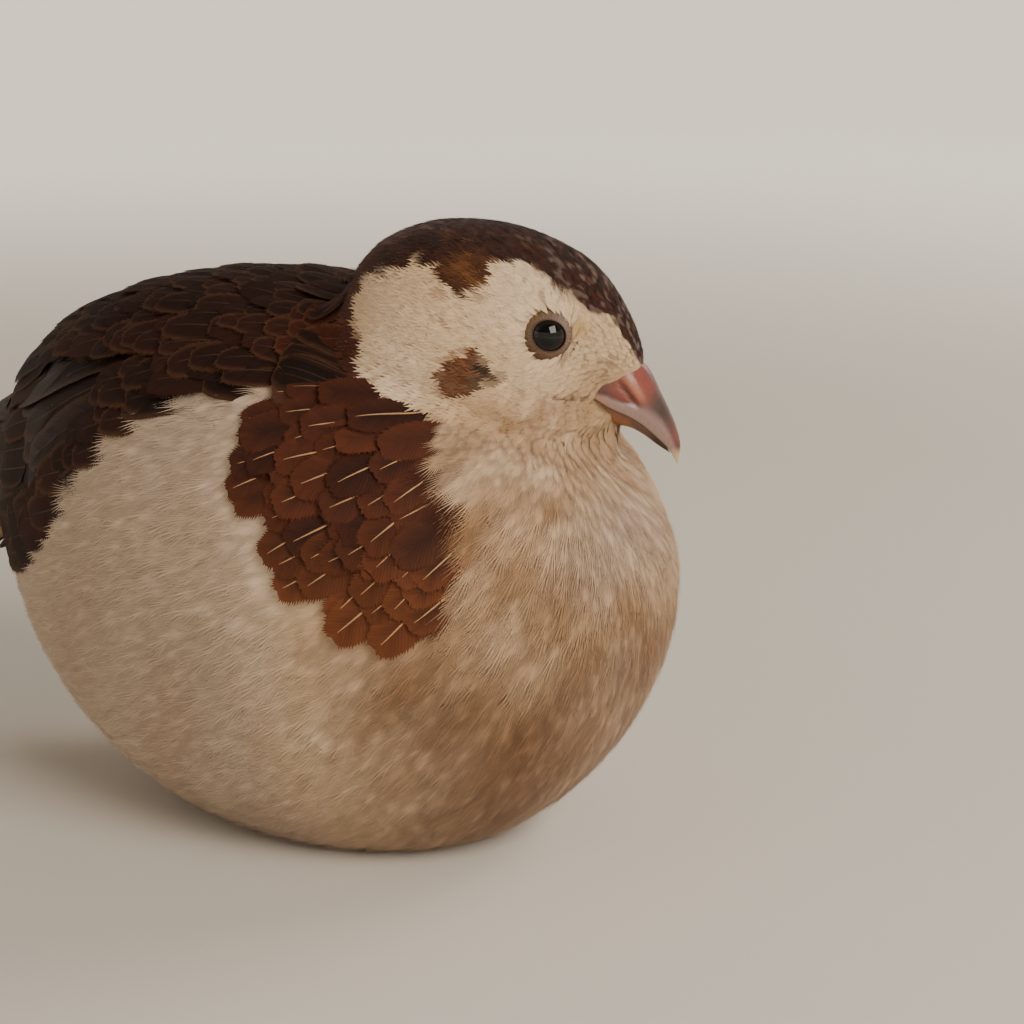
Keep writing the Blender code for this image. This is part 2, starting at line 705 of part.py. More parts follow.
def build():
    clear_scene()
    white = material("white_feather", SKIN_WHITE, 0.8)
    brown = material("brown_feather", DARK_BROWN, 0.7)
    chestnut = material("chestnut_feather", CHESTNUT, 0.75)
    horn = material("bill_horn", BILL_RED, 0.35)
    dark = material("eye_dark", EYE_BLACK, 0.05)
    flesh = material("leg_scales", LEG_FLESH, 0.5)
    claw_horn = material("claw_horn", CLAW_HORN, 0.4)

    torso = egg("torso", torso_points, TORSO_RINGS, TORSO_SIDES)
    head = egg("head", lambda t, a: in_head(head_points(t, a)), HEAD_RINGS, HEAD_SIDES)
    neck = egg("neck", neck_points, NECK_RINGS, NECK_SIDES)
    upper = bill_half("bill_upper", UPPER_BILL, UPPER_BILL_TIP, 1)
    lower = bill_half("bill_lower", LOWER_BILL, LOWER_BILL_TIP, -1)
    eyes = {}
    for side, word in ((-1, "right"), (1, "left")):
        centre, _ = eye_frame(side)
        eyes[word] = ball(f"eye_{word}", centre, EYE_RADIUS)

    for side in (-1, 1):
        wing(side, [grown(form, f"{form.name}_cutter", GAP) for form in (torso, neck, head)], brown)
    tail(grown(torso, "torso_cutter", GAP), brown)

    cut(neck, [grown(head, "head_cutter", GAP)])
    cutters = [grown(neck, "neck_cutter", GAP), grown(head, "head_cutter", GAP)]
    for side in (-1, 1):
        for thing in (leg(side, flesh), *claws(side, claw_horn)):
            cutters.append(grown(thing, f"{thing.name}_cutter", GAP))
    cut(torso, cutters)

    fuse(head, [lid_ring("lid_right", -1), lid_ring("lid_left", 1)])
    cutters = [ball("eye_cutter", eye_frame(side)[0], EYE_RADIUS + GAP) for side in (-1, 1)]
    cutters += [grown(upper, "bill_cutter", GAP), grown(lower, "bill_cutter", GAP)]
    cutters += [
        slit("mouth_cutter", MOUTH_CORNER, MOUTH_LINE_END, side * 11.0, 4.0 * MM, 0.7 * MM) for side in (-1, 1)
    ]
    cut(head, cutters)
    cut(upper, [
        slit("nostril_cutter", *NOSTRIL, side * 3.1, 1.6 * MM, 0.9 * MM) for side in (-1, 1)
    ])

    finish(torso, "torso", white)
    finish(neck, "neck", chestnut)
    finish(head, "head", white)
    finish(upper, "bill_upper", horn)
    finish(lower, "bill_lower", horn)
    for eye in eyes.values():
        finish(eye, eye.name, dark)
    to_origin = Matrix.Translation(-OUTLINE_MIDDLE)
    for thing in bpy.data.objects:
        thing.data.transform(to_origin)


build()
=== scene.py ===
"""Looks of the coturnix quail: skin, small feathers, wings, tail, bill, eyes and feet.

Shapes are worked out in millimetres in the bird's own axes, with x forward, y to its left and z up, and are
then moved to the frame, whose origin lies under the middle of the bird's outline.
"""

import math

import bmesh
import bpy
import numpy as np
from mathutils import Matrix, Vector
from mathutils.bvhtree import BVHTree
from mathutils.kdtree import KDTree


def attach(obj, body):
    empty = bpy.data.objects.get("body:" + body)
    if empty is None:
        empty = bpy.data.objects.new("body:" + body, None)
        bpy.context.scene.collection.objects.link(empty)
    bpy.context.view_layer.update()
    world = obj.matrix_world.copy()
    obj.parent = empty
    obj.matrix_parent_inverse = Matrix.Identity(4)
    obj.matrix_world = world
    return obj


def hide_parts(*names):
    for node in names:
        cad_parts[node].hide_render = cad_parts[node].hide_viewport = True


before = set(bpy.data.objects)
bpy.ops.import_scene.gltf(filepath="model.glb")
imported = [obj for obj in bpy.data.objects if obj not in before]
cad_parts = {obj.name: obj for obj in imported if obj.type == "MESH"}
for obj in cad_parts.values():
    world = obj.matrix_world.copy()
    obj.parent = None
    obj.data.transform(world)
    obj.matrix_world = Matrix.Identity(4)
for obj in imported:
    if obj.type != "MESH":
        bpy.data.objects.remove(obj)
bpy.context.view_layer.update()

MM = 0.001
OUTLINE_MIDDLE = np.array([-20.133, 0.0, 0.0])

# The body forms, as in the solids.
TORSO_FRONT, TORSO_REAR = 46.0, -66.0
TORSO_HALF_WIDTH = 37.0
BREAST_LEVEL, RUMP_LEVEL = 38.0, 44.0
BACK_RISE, BELLY_DROP = 38.0, 47.0
FRONT_FALL_ABOVE, FRONT_FALL_BELOW = 0.50, 0.22
TORSO_SQUARENESS = 2.15
WING_FRONT, WING_STRAIGHT_FROM = 8.0, -40.0
WING_SIDE_SLOPE, WING_TOP_SLOPE = 0.56, 0.62
BED_LOW_ANGLES = (48.0, 92.0)
BED_DROP_FROM, BED_DROP_TO = -13.0, -36.0
HEAD_PLACE = np.array([26.9, 1.8, 74.8])
HEAD_TURN = math.radians(32.0)
HEAD_FRONT, HEAD_REAR = 15.0, -28.0
HEAD_RISE, HEAD_DROP, HEAD_HALF_WIDTH = 15.6, 15.5, 13.0
HEAD_SQUARENESS = 2.1
EYE_RADIUS = 3.6
EYE_PLACE = np.array([0.4, 8.35, 0.3])
EYE_OUTWARD = np.array([0.16, 1.0, 0.10])
TAIL_ROOT = np.array([-58.0, 0.0, 45.0])
TAIL_SLOPE = math.radians(34.0)
# Middle and radii of the soft forms that join head and body.
NECK = ((5.0, 3.5, 65.0), (19.0, 16.5, 16.5))
THROAT = ((26.8, 2.9, 58.3), (8.5, 9.0, 8.0))
CHIN = ((33.3, 5.8, 58.8), (4.8, 4.8, 3.8))
# Ellipsoids close to the torso, and in the head's axes to the head, that tell one from the other.
TORSO_EGG = ((-10.0, 0.0, 40.0), (56.0, 38.0, 38.0))
HEAD_EGG = ((-6.5, 0.0, -0.4), (21.5, 13.0, 15.6))
HEAD_SHELL = ((-6.5, 0.0, -0.4), (22.5, 14.0, 16.8))
# The eyelids bare this much of the eye, as a radius, and reach out this far under the feathers.
LID_VISIBLE, LID_SKIRT = 2.12, 3.4
# No feather is rooted nearer to the eye's axis than the first of these, nor lies nearer than the second.
EYE_BARE, EYE_CLEAR = 2.68, 2.6

# Bill sections in the head's middle plane: the ridge point, the cutting edge point and the half width.
UPPER_BILL = (
    ((12.4, -3.4), (6.3, -9.1), 3.4),
    ((14.9, -6.0), (9.1, -10.9), 3.1),
    ((16.4, -9.0), (11.9, -12.2), 2.8),
    ((17.7, -11.7), (13.9, -13.5), 2.35),
    ((18.7, -14.1), (15.9, -15.3), 1.75),
    ((19.3, -16.7), (17.7, -17.2), 0.95),
)
UPPER_BILL_TIP = (18.9, -19.4)
LOWER_BILL = (
    ((5.9, -9.7), (7.4, -12.3), 2.8),
    ((8.7, -11.3), (10.2, -13.6), 2.5),
    ((11.5, -12.7), (12.4, -14.2), 2.1),
    ((13.6, -14.1), (14.2, -15.2), 1.6),
    ((15.6, -15.9), (16.2, -16.7), 1.0),
)
LOWER_BILL_TIP = (17.9, -17.8)

# Depth of the coat over the skin, on the body and on the head, and the size of the skin's faces.
BODY_COAT, HEAD_COAT = 1.8, 0.75
SKIN_VOXEL = 0.95
# Least heights of skin and feathers over the floor.
LOWEST_SKIN, LOWEST_FEATHER = 0.6, 0.15
# Rounds of smoothing: so many where the forms meet, and the first few of them all over.
JOIN_ROUNDS, OVERALL_ROUNDS = 70, 8
# Spread of the barbs' ends in width, length and height, of a feather's tilt, and of its shading normals.
BARB_WIDTH_SPREAD, BARB_LENGTH_SPREAD, BARB_HEIGHT_SPREAD = 0.06, 0.02, 0.06
TILT_SPREAD, NORMAL_SPREAD = 0.07, 0.04
# Most triangles in a piece of the coat.
PIECE_LIMIT = 190000
SEED = 20


def ease(share):
    """A smooth step from 0 to 1."""
    share = np.clip(share, 0.0, 1.0)
    return share * share * (3.0 - 2.0 * share)


def between(ends, share):
    """The value at a share of the way from the first of two ends to the last."""
    first, last = np.array(ends)
    return first + (last - first) * share


def unit(vectors):
    """The vectors at length 1."""
    return vectors / np.maximum(np.linalg.norm(vectors, axis=-1, keepdims=True), 1e-9)


def dot(a, b):
    """Dot products, with a last axis of one number."""
    return np.sum(a * b, axis=-1, keepdims=True)


def reach_in(points, middle, radii):
    """Distance from a middle with each axis measured in its own radius: 1 on the ellipsoid's surface."""
    return np.linalg.norm((points - np.array(middle)) / np.array(radii), axis=1)


def to_frame(points):
    """From millimetres in the bird's axes to metres in the frame."""
    return (np.asarray(points) - OUTLINE_MIDDLE) * MM


HEAD_AXES = np.array([
    [math.cos(HEAD_TURN), -math.sin(HEAD_TURN), 0.0],
    [math.sin(HEAD_TURN), math.cos(HEAD_TURN), 0.0],
    [0.0, 0.0, 1.0],
])


def from_head(points):
    """From the head's axes, forward, left and up, to the bird's."""
    return np.asarray(points) @ HEAD_AXES.T + HEAD_PLACE


def in_head(points):
    """From the bird's axes to the head's."""
    return (np.asarray(points) - HEAD_PLACE) @ HEAD_AXES


def linear(colour):
    """An sRGB hex colour as linear red, green and blue. Colours that are already linear stay as they are."""
    if not isinstance(colour, str):
        return colour
    parts = np.array([int(colour[i:i + 2], 16) for i in (1, 3, 5)]) / 255.0
    return np.where(parts <= 0.04045, parts / 12.92, ((parts + 0.055) / 1.055) ** 2.4)


def blend(colours, *layers):
    """Colours with layers over them in turn, each a colour and how much of it there is at each place."""
    colours = linear(colours)
    for colour, share in layers:
        colours = colours + (linear(colour) - colours) * np.clip(share, 0.0, 1.0)[..., None]
    return colours


# Shapes of the body


def squared_ring(angle, squareness):
    """Across and up on a ring a little squarer than an ellipse: |across|^n + |up|^n = 1; angle 0 is the top."""
    up, across = np.cos(angle), np.sin(angle)
    reach = (np.abs(up) ** squareness + np.abs(across) ** squareness) ** (-1.0 / squareness)
    return across * reach, up * reach


def torso_section(x):
    """Half width, rise and drop from the widest level, and that level: powers of sqrt(1 - along^2)."""
    along = np.clip((2.0 * x - TORSO_FRONT - TORSO_REAR) / (TORSO_FRONT - TORSO_REAR), -1.0, 1.0)
    ring = np.sqrt(np.maximum(1.0 - along**2, 0.0))
    level = RUMP_LEVEL + (BREAST_LEVEL - RUMP_LEVEL) * 0.5 * (along + 1.0)
    front = np.clip((along - 0.1) / 0.9, 0.0, 1.0)
    width = TORSO_HALF_WIDTH * ring**0.86 * (1.0 + 0.14 * along - 0.10 * along**2)
    rise = BACK_RISE * ring ** (0.80 + FRONT_FALL_ABOVE * front) * (1.0 + 0.02 * along)
    drop = BELLY_DROP * ring ** (0.85 + FRONT_FALL_BELOW * front) * (1.0 + 0.02 * along)
    return width, rise, drop, level


def torso_points(turn, angle):
    """The torso: x runs as the cosine of turn, and each section is a squared ring above and below its level."""
    x = 0.5 * (TORSO_FRONT + TORSO_REAR) + 0.5 * (TORSO_FRONT - TORSO_REAR) * np.cos(turn)
    width, rise, drop, level = torso_section(x)
    across, up = squared_ring(angle, TORSO_SQUARENESS)
    z = level + np.where(up > 0.0, rise, drop) * up
    return np.stack(np.broadcast_arrays(x, width * across, np.maximum(z, 0.0)), -1)


def ellipsoid(middle, radii):
    """The formula of an ellipsoid whose poles lie fore and aft."""
    def points(turn, angle):
        shape = np.cos(turn), np.sin(turn) * np.sin(angle), np.sin(turn) * np.cos(angle)
        return np.array(middle) + np.array(radii) * np.stack(np.broadcast_arrays(*shape), -1)
    return points


def head_points(turn, angle):
    """The head: forward runs as the cosine of turn, sections are squared rings whose middle drops to the bill.
    Its width also falls off in front of the eyes in a smooth step, more so below, as a face narrows to the bill."""
    along, ring = np.cos(turn), np.sin(turn)
    forward = 0.5 * (HEAD_FRONT + HEAD_REAR) + 0.5 * (HEAD_FRONT - HEAD_REAR) * along
    share = 0.5 * (along + 1.0)
    across, up = squared_ring(angle, HEAD_SQUARENESS)
    rise, drop = HEAD_RISE * ring**0.9, HEAD_DROP * ring**0.8
    z = 1.9 - 5.0 * share - 5.6 * share**8 + np.where(up > 0.0, rise, drop) * up
    narrowing = (0.18 + 0.42 * ease((-4.5 - z) / 3.5)) * ease((forward - 1.5) / 6.0)
    width = HEAD_HALF_WIDTH * ring**1.1 * (1.0 - 0.28 * along) * (1.0 - narrowing)
    return from_head(np.stack(np.broadcast_arrays(forward, width * across, z), -1))


def wing_support(x, angle):
    """The surface that wing feathers follow: the torso, run on in straight lines over the rump."""
    past = np.maximum(WING_STRAIGHT_FROM - x, 0.0)
    width, rise, _, level = torso_section(np.maximum(x, WING_STRAIGHT_FROM))
    across, up = squared_ring(angle, TORSO_SQUARENESS)
    y = (width - WING_SIDE_SLOPE * past) * across
    z = level + (rise - WING_TOP_SLOPE * past) * up
    return np.stack(np.broadcast_arrays(x, y, z), -1)


def wing_place(side, back, around, height):
    """A point over the wing's surface, and the normal there, from millimetres back from the wing's front and round
    from the back's top. The normal is the cross product of two directions on the surface, turned outwards."""
    x = WING_FRONT - back
    width, rise, _, _ = torso_section(np.maximum(x, WING_STRAIGHT_FROM))
    angle = side * around / (0.5 * (width + rise))
    here = wing_support(x, angle)
    normal = unit(np.cross(wing_support(x + 0.2, angle) - here, wing_support(x, angle + 0.01) - here))
    outward = here * np.array([0.0, 1.0, 1.0]) - np.array([0.0, 0.0, 30.0])
    normal = normal * np.sign(dot(normal, outward))
    return here + normal * height[..., None], normal


def tail_place(along, across, height):
    """A point of the tail's roof, which slopes down and back and is arched across as a parabola."""
    rise = height - 0.018 * across**2
    x = TAIL_ROOT[0] - along * math.cos(TAIL_SLOPE) - rise * math.sin(TAIL_SLOPE)
    z = TAIL_ROOT[2] - along * math.sin(TAIL_SLOPE) + rise * math.cos(TAIL_SLOPE)
    return np.stack(np.broadcast_arrays(x, across, z), -1)


# Meshes


def new_mesh(name, points, faces):
    """A smooth mesh object at the origin, from points in millimetres in the bird's axes and faces of one size."""
    mesh = bpy.data.meshes.new(name)
    mesh.vertices.add(len(points))
    mesh.vertices.foreach_set("co", to_frame(points).astype(np.float32).ravel())
    mesh.loops.add(faces.size)
    mesh.loops.foreach_set("vertex_index", faces.astype(np.int32).ravel())
    mesh.polygons.add(len(faces))
    mesh.polygons.foreach_set("loop_start", np.arange(0, faces.size, faces.shape[1], dtype=np.int32))
    mesh.update(calc_edges=True)
    mesh.polygons.foreach_set("use_smooth", np.full(len(faces), True))
    made = bpy.data.objects.new(name, mesh)
    bpy.context.scene.collection.objects.link(made)
    return made


def read(items, name, width, kind=np.float32):
    """A property of a mesh's vertices, edges or corners as an array, with width numbers for each."""
    values = np.empty(len(items) * width, dtype=kind)
    items.foreach_get(name, values)
    return values.reshape(-1, width)


def places_of(mesh, kind=np.float32):
    """A mesh's vertices in millimetres in the bird's axes."""
    return read(mesh.vertices, "co", 3, kind) / MM + OUTLINE_MIDDLE


def move_vertices(mesh, places):
    """Puts a mesh's vertices at places in the bird's axes."""
    mesh.vertices.foreach_set("co", to_frame(places).astype(np.float32).ravel())
    mesh.update()


def grid_faces(rows, columns, closed=False):
    """Quads of a grid of rows by columns; closed joins the last column to the first."""
    r = np.arange(rows - 1)[:, None]
    c = np.arange(columns if closed else columns - 1)[None, :]
    n = (c + 1) % columns
    quads = np.stack([r * columns + c, r * columns + n, (r + 1) * columns + n, (r + 1) * columns + c], -1)
    return quads.reshape(-1, 4)


def closed_form(rings, ends):
    """Points and triangles of a closed form: rings of points, closed by a fan to an end point on each side."""
    rows, sides = rings.shape[:2]
    quads = grid_faces(rows, sides, closed=True)
    s = np.arange(sides)
    n = (s + 1) % sides
    last = (rows - 1) * sides
    start = np.stack([n, s, np.full(sides, rows * sides)], -1)
    end = np.stack([last + s, last + n, np.full(sides, rows * sides + 1)], -1)
    triangles = np.concatenate([quads[:, [0, 1, 2]], quads[:, [0, 2, 3]], start, end])
    return np.concatenate([rings.reshape(-1, 3), ends]), triangles


def face_out(piece):
    """Turns a closed piece's faces outwards, where the sign of its volume says that they point inwards."""
    shell = bmesh.new()
    shell.from_mesh(piece.data)
    if shell.calc_volume(signed=True) < 0.0:
        bmesh.ops.reverse_faces(shell, faces=shell.faces)
        shell.to_mesh(piece.data)
    shell.free()


def closed_piece(name, rings, tint, end_tints):
    """A closed piece from rings of points and their colours. Its ends close to the middles of the end rings."""
    piece = new_mesh(name, *closed_form(rings, rings[[0, -1]].mean(axis=1)))
    face_out(piece)
    set_colours(piece, "tint", np.concatenate([tint.reshape(-1, 3), [linear(colour) for colour in end_tints]]))
    return piece


def set_colours(piece, name, colours):
    """Stores one linear colour for each vertex as an attribute that the material reads."""
    layer = piece.data.attributes.new(name, "FLOAT_COLOR", "POINT")
    rgba = np.ones((len(piece.data.vertices), 4), dtype=np.float32)
    rgba[:, :colours.shape[1]] = colours
    layer.data.foreach_set("color", rgba.ravel())


def set_uv(piece, name, uv):
    """Stores a UV map from one pair for each vertex."""
    layer = piece.data.uv_layers.new(name=name)
    corners = read(piece.data.loops, "vertex_index", 1, np.int32)[:, 0]
    layer.data.foreach_set("uv", np.asarray(uv, dtype=np.float32)[corners].ravel())


def settle(piece, nodes, finish):
    """Puts a finished piece in the frame: it rides on the root, replaces its nodes and takes its material."""
    piece.data.materials.clear()
    piece.data.materials.append(finish)
    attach(piece, "root")
    if nodes:
        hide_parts(*nodes)


# Materials

# How strongly feathers mirror light, the phase of the bars' wave from root to tip, and the ridges' depth in
# metres.
FEATHER_GLOSS, BAR_PHASE, BARB_DEPTH = 0.12, 30.0, 0.00005


def plug(tree, node, inputs):
    """Sets a node's sockets, by name or number. A node stands for its first output, which is then linked."""
    for key, value in inputs.items():
        if isinstance(value, bpy.types.Node):
            value = value.outputs[0]
        if isinstance(value, bpy.types.NodeSocket):
            tree.links.new(value, node.inputs[key])
        else:
            node.inputs[key].default_value = value
    return node


def add(tree, kind, inputs=(), **settings):
    """Adds a node with its settings and what goes into its sockets."""
    made = tree.nodes.new(kind)
    for key, value in settings.items():
        setattr(made, key, value)
    return plug(tree, made, dict(inputs))


def new_material(name):
    """A material with an empty Principled shader: returns the material, its tree and the shader."""
    made = bpy.data.materials.new(name)
    made.use_nodes = True
    return made, made.node_tree, made.node_tree.nodes["Principled BSDF"]


def feather_material(name, barb_spacing, roughness, sheen, strand=0.16):
    """Keratin barbs: matt and soft, each barb a fine ridge of its own tone, with a pale smooth shaft where the
    plumage has one, and a lighter rim. barb_spacing is in shares of the feather, strand is the spread of tone."""
    made, tree, shader = new_material(name)
    plumage = add(tree, "ShaderNodeAttribute", attribute_name="plumage")
    marks = add(tree, "ShaderNodeAttribute", attribute_name="marks")
    parts = add(tree, "ShaderNodeSeparateColor", {"Color": marks})
    split = add(tree, "ShaderNodeSeparateXYZ", {"Vector": add(tree, "ShaderNodeUVMap", uv_map="barb")})
    along = split.outputs["Y"]
    side = add(tree, "ShaderNodeMath", {0: split}, operation="ABSOLUTE")
    # Bars cross the feather where the plumage has them: a wave along the shaft, broken by noise.
    place = add(tree, "ShaderNodeTexCoord")
    wander = add(tree, "ShaderNodeTexNoise", {"Vector": place.outputs["Object"], "Scale": 700.0, "Detail": 2.0})
    wave = add(tree, "ShaderNodeMath", {0: along, 1: BAR_PHASE, 2: wander}, operation="MULTIPLY_ADD")
    wave = add(tree, "ShaderNodeMath", {0: wave}, operation="SINE")
    # Bars, rim and shaft: each begins and is full at two places, as strong as the plumage says.
    base = plumage
    for value, begins, full, part, colour in (
            (wave, 0.1, 0.8, "Blue", "#1c120d"),
            (side, 0.60, 0.95, "Green", "#6f4c33"),
            (side, 0.055, 0.02, "Red", "#b98d63")):
        mark = add(tree, "ShaderNodeMapRange", {"Value": value, "From Min": begins, "From Max": full},
                   interpolation_type="SMOOTHSTEP")
        mark = add(tree, "ShaderNodeMath", {0: mark, 1: parts.outputs[part]}, operation="MULTIPLY")
        base = add(tree, "ShaderNodeMix", {0: mark, 6: base, 7: (*linear(colour), 1.0)}, data_type="RGBA").outputs[2]
    # Each barb has its own tone from root to tip, drawn a little coarser than the real 0.05 mm, so that it shows.
    barb = add(tree, "ShaderNodeMath", {0: along, 1: 0.55 / barb_spacing}, operation="MULTIPLY")
    feather = add(tree, "ShaderNodeMath", {0: marks.outputs["Alpha"], 1: 91.0}, operation="MULTIPLY")
    tone = add(tree, "ShaderNodeCombineXYZ", {"X": barb, "Y": feather, "Z": split})
    tone = add(tree, "ShaderNodeTexNoise", {"Vector": tone, "Scale": 1.0, "Detail": 2.0})
    tone = add(tree, "ShaderNodeMapRange", {"Value": tone, "From Min": 0.3, "From Max": 0.7,
                                            "To Min": 1.0 - strand, "To Max": 1.0 + strand})
    shaded = add(tree, "ShaderNodeVectorMath", {0: base, "Scale": tone}, operation="SCALE")
    ridges = add(tree, "ShaderNodeMath", {0: along, 1: 2.0 * math.pi / barb_spacing}, operation="MULTIPLY")
    ridges = add(tree, "ShaderNodeMath", {0: ridges}, operation="SINE")
    bump = add(tree, "ShaderNodeBump", {"Height": ridges, "Strength": 0.25, "Distance": BARB_DEPTH})
    plug(tree, shader, {"Base Color": shaded, "Normal": bump, "Roughness": roughness,
                        "Specular IOR Level": FEATHER_GLOSS, "Sheen Weight": sheen, "Sheen Roughness": 0.5})
    return made


def tint_material(name, roughness, colour=None, coat=0.0, grain=900.0, bump_depth=0.0, mottle=0.15, specular=0.5):
    """A surface of one colour, or of the colours in the attribute tint, with fine mottling and bump. grain is in
    features for each metre and bump_depth in metres."""
    made, tree, shader = new_material(name)
    tint = tuple(linear(colour)) if colour else add(tree, "ShaderNodeAttribute", attribute_name="tint")
    place = add(tree, "ShaderNodeTexCoord")
    noise = add(tree, "ShaderNodeTexNoise", {"Vector": place.outputs["Object"], "Scale": grain, "Detail": 4.0})
    tone = add(tree, "ShaderNodeMapRange", {"Value": noise, "From Min": 0.25, "From Max": 0.75,
                                            "To Min": 1.0 - mottle, "To Max": 1.0 + mottle})
    shaded = add(tree, "ShaderNodeVectorMath", {0: tint, "Scale": tone}, operation="SCALE")
    plug(tree, shader, {"Base Color": shaded, "Roughness": roughness, "Coat Weight": coat, "Coat Roughness": 0.08,
                        "Specular IOR Level": specular})
    if bump_depth:
        bump = add(tree, "ShaderNodeBump", {"Height": noise, "Strength": 1.0, "Distance": bump_depth})
        plug(tree, shader, {"Normal": bump})
    return made


# Markings

WHITE = "#d0b698"
WARM_WHITE = "#c0a07a"
BUFF = "#8f6d4e"
BROWN_WASH = "#6d4d37"
CHESTNUT = "#502a1b"
DARK_CHESTNUT = "#331b14"
CAP_BROWN = "#371d15"
BACK_BROWN = "#25140e"
WING_BROWN = "#19100c"
GREY_BLACK = "#1c1513"
OCHRE = "#6d4526"


def lumps(points, size, seed):
    """Smooth noise between -1 and 1: a sum of sines of turned coordinates, about size millimetres across."""
    draw = np.random.default_rng(seed)
    total = np.zeros(points.shape[:-1])
    for _ in range(5):
        wave = unit(draw.normal(size=3)) * (2.0 * math.pi / (size * draw.uniform(0.8, 2.2)))
        total = total + np.sin(points @ wave + draw.uniform(0.0, 6.28))
    return total / 2.6


def inside(across, up, outline):
    """Distance into a closed outline of corners, negative outside it: the nearest distance to any of its sides,
    with the sign from how often a level line to the right crosses them."""
    spots = np.stack([across, up], -1)
    corners = np.array(outline)
    nearest = np.full(len(spots), 1e9)
    crossings = np.zeros(len(spots), dtype=int)
    for start, end in zip(corners, np.roll(corners, -1, axis=0)):
        run = end - start
        share = np.clip((spots - start) @ run / (run @ run), 0.0, 1.0)
        nearest = np.minimum(nearest, np.linalg.norm(spots - start - share[:, None] * run, axis=1))
        spans = (start[1] > spots[:, 1]) != (end[1] > spots[:, 1])
        level = start[0] + (spots[:, 1] - start[1]) * run[0] / (run[1] if run[1] else 1e-9)
        crossings += spans & (spots[:, 0] < level)
    return np.where(crossings % 2 == 1, nearest, -nearest)


# Lower edge of the dark cap, as forward and up in the head's axes, with the lobe behind the eye.
CAP_EDGE = np.array((
    (-29.0, 5.0), (-25.3, 7.3), (-21.5, 8.4), (-17.5, 9.8), (-15.1, 9.2), (-12.4, 7.1), (-10.6, 6.5), (-8.7, 6.6),
    (-8.0, 7.6), (-7.4, 9.8), (-6.2, 10.1), (-2.1, 9.2), (0.4, 8.1), (2.5, 6.6), (5.8, 2.9), (8.9, 2.3), (10.9, -1.0),
    (13.0, -4.0), (14.6, -7.0)))
# The part of the face that bare bill covers, seen from the side in the head's axes.
BARE_BILL = ((15.4, -5.2), (14.4, -5.8), (13.0, -5.4), (11.2, -5.5), (10.4, -5.9), (10.4, -7.5), (11.8, -9.3),
             (12.8, -10.3), (10.5, -10.0), (8.8, -9.3), (6.6, -9.4), (9.2, -12.1), (11.4, -13.4), (12.9, -14.0),
             (25.0, -14.0), (25.0, -5.2))
# The chestnut patch of the breast's side, seen from the side as forward and up in the bird's axes.
PATCH = ((19.0, 65.2), (21.5, 61.5), (23.0, 58.0), (25.8, 54.2), (28.0, 50.5), (29.6, 46.0), (29.0, 41.0),
         (27.6, 36.4), (23.0, 35.6), (15.8, 37.6), (8.2, 40.0), (4.6, 45.0), (1.0, 52.3), (-2.8, 58.4),
         (-3.4, 61.8), (-1.5, 66.5), (4.9, 67.8), (11.8, 69.3), (16.0, 67.5))
# Lower edge of the dark back, from the rump to the shoulder, and up behind the cheek.
MANTLE_EDGE = np.array((
    (-66.0, 30.0), (-46.0, 38.0), (-36.0, 47.0), (-28.0, 57.0), (-18.0, 64.5), (-10.5, 67.0), (-6.5, 67.0),
    (4.9, 67.4), (11.5, 69.0), (13.5, 76.0), (16.0, 92.0)))


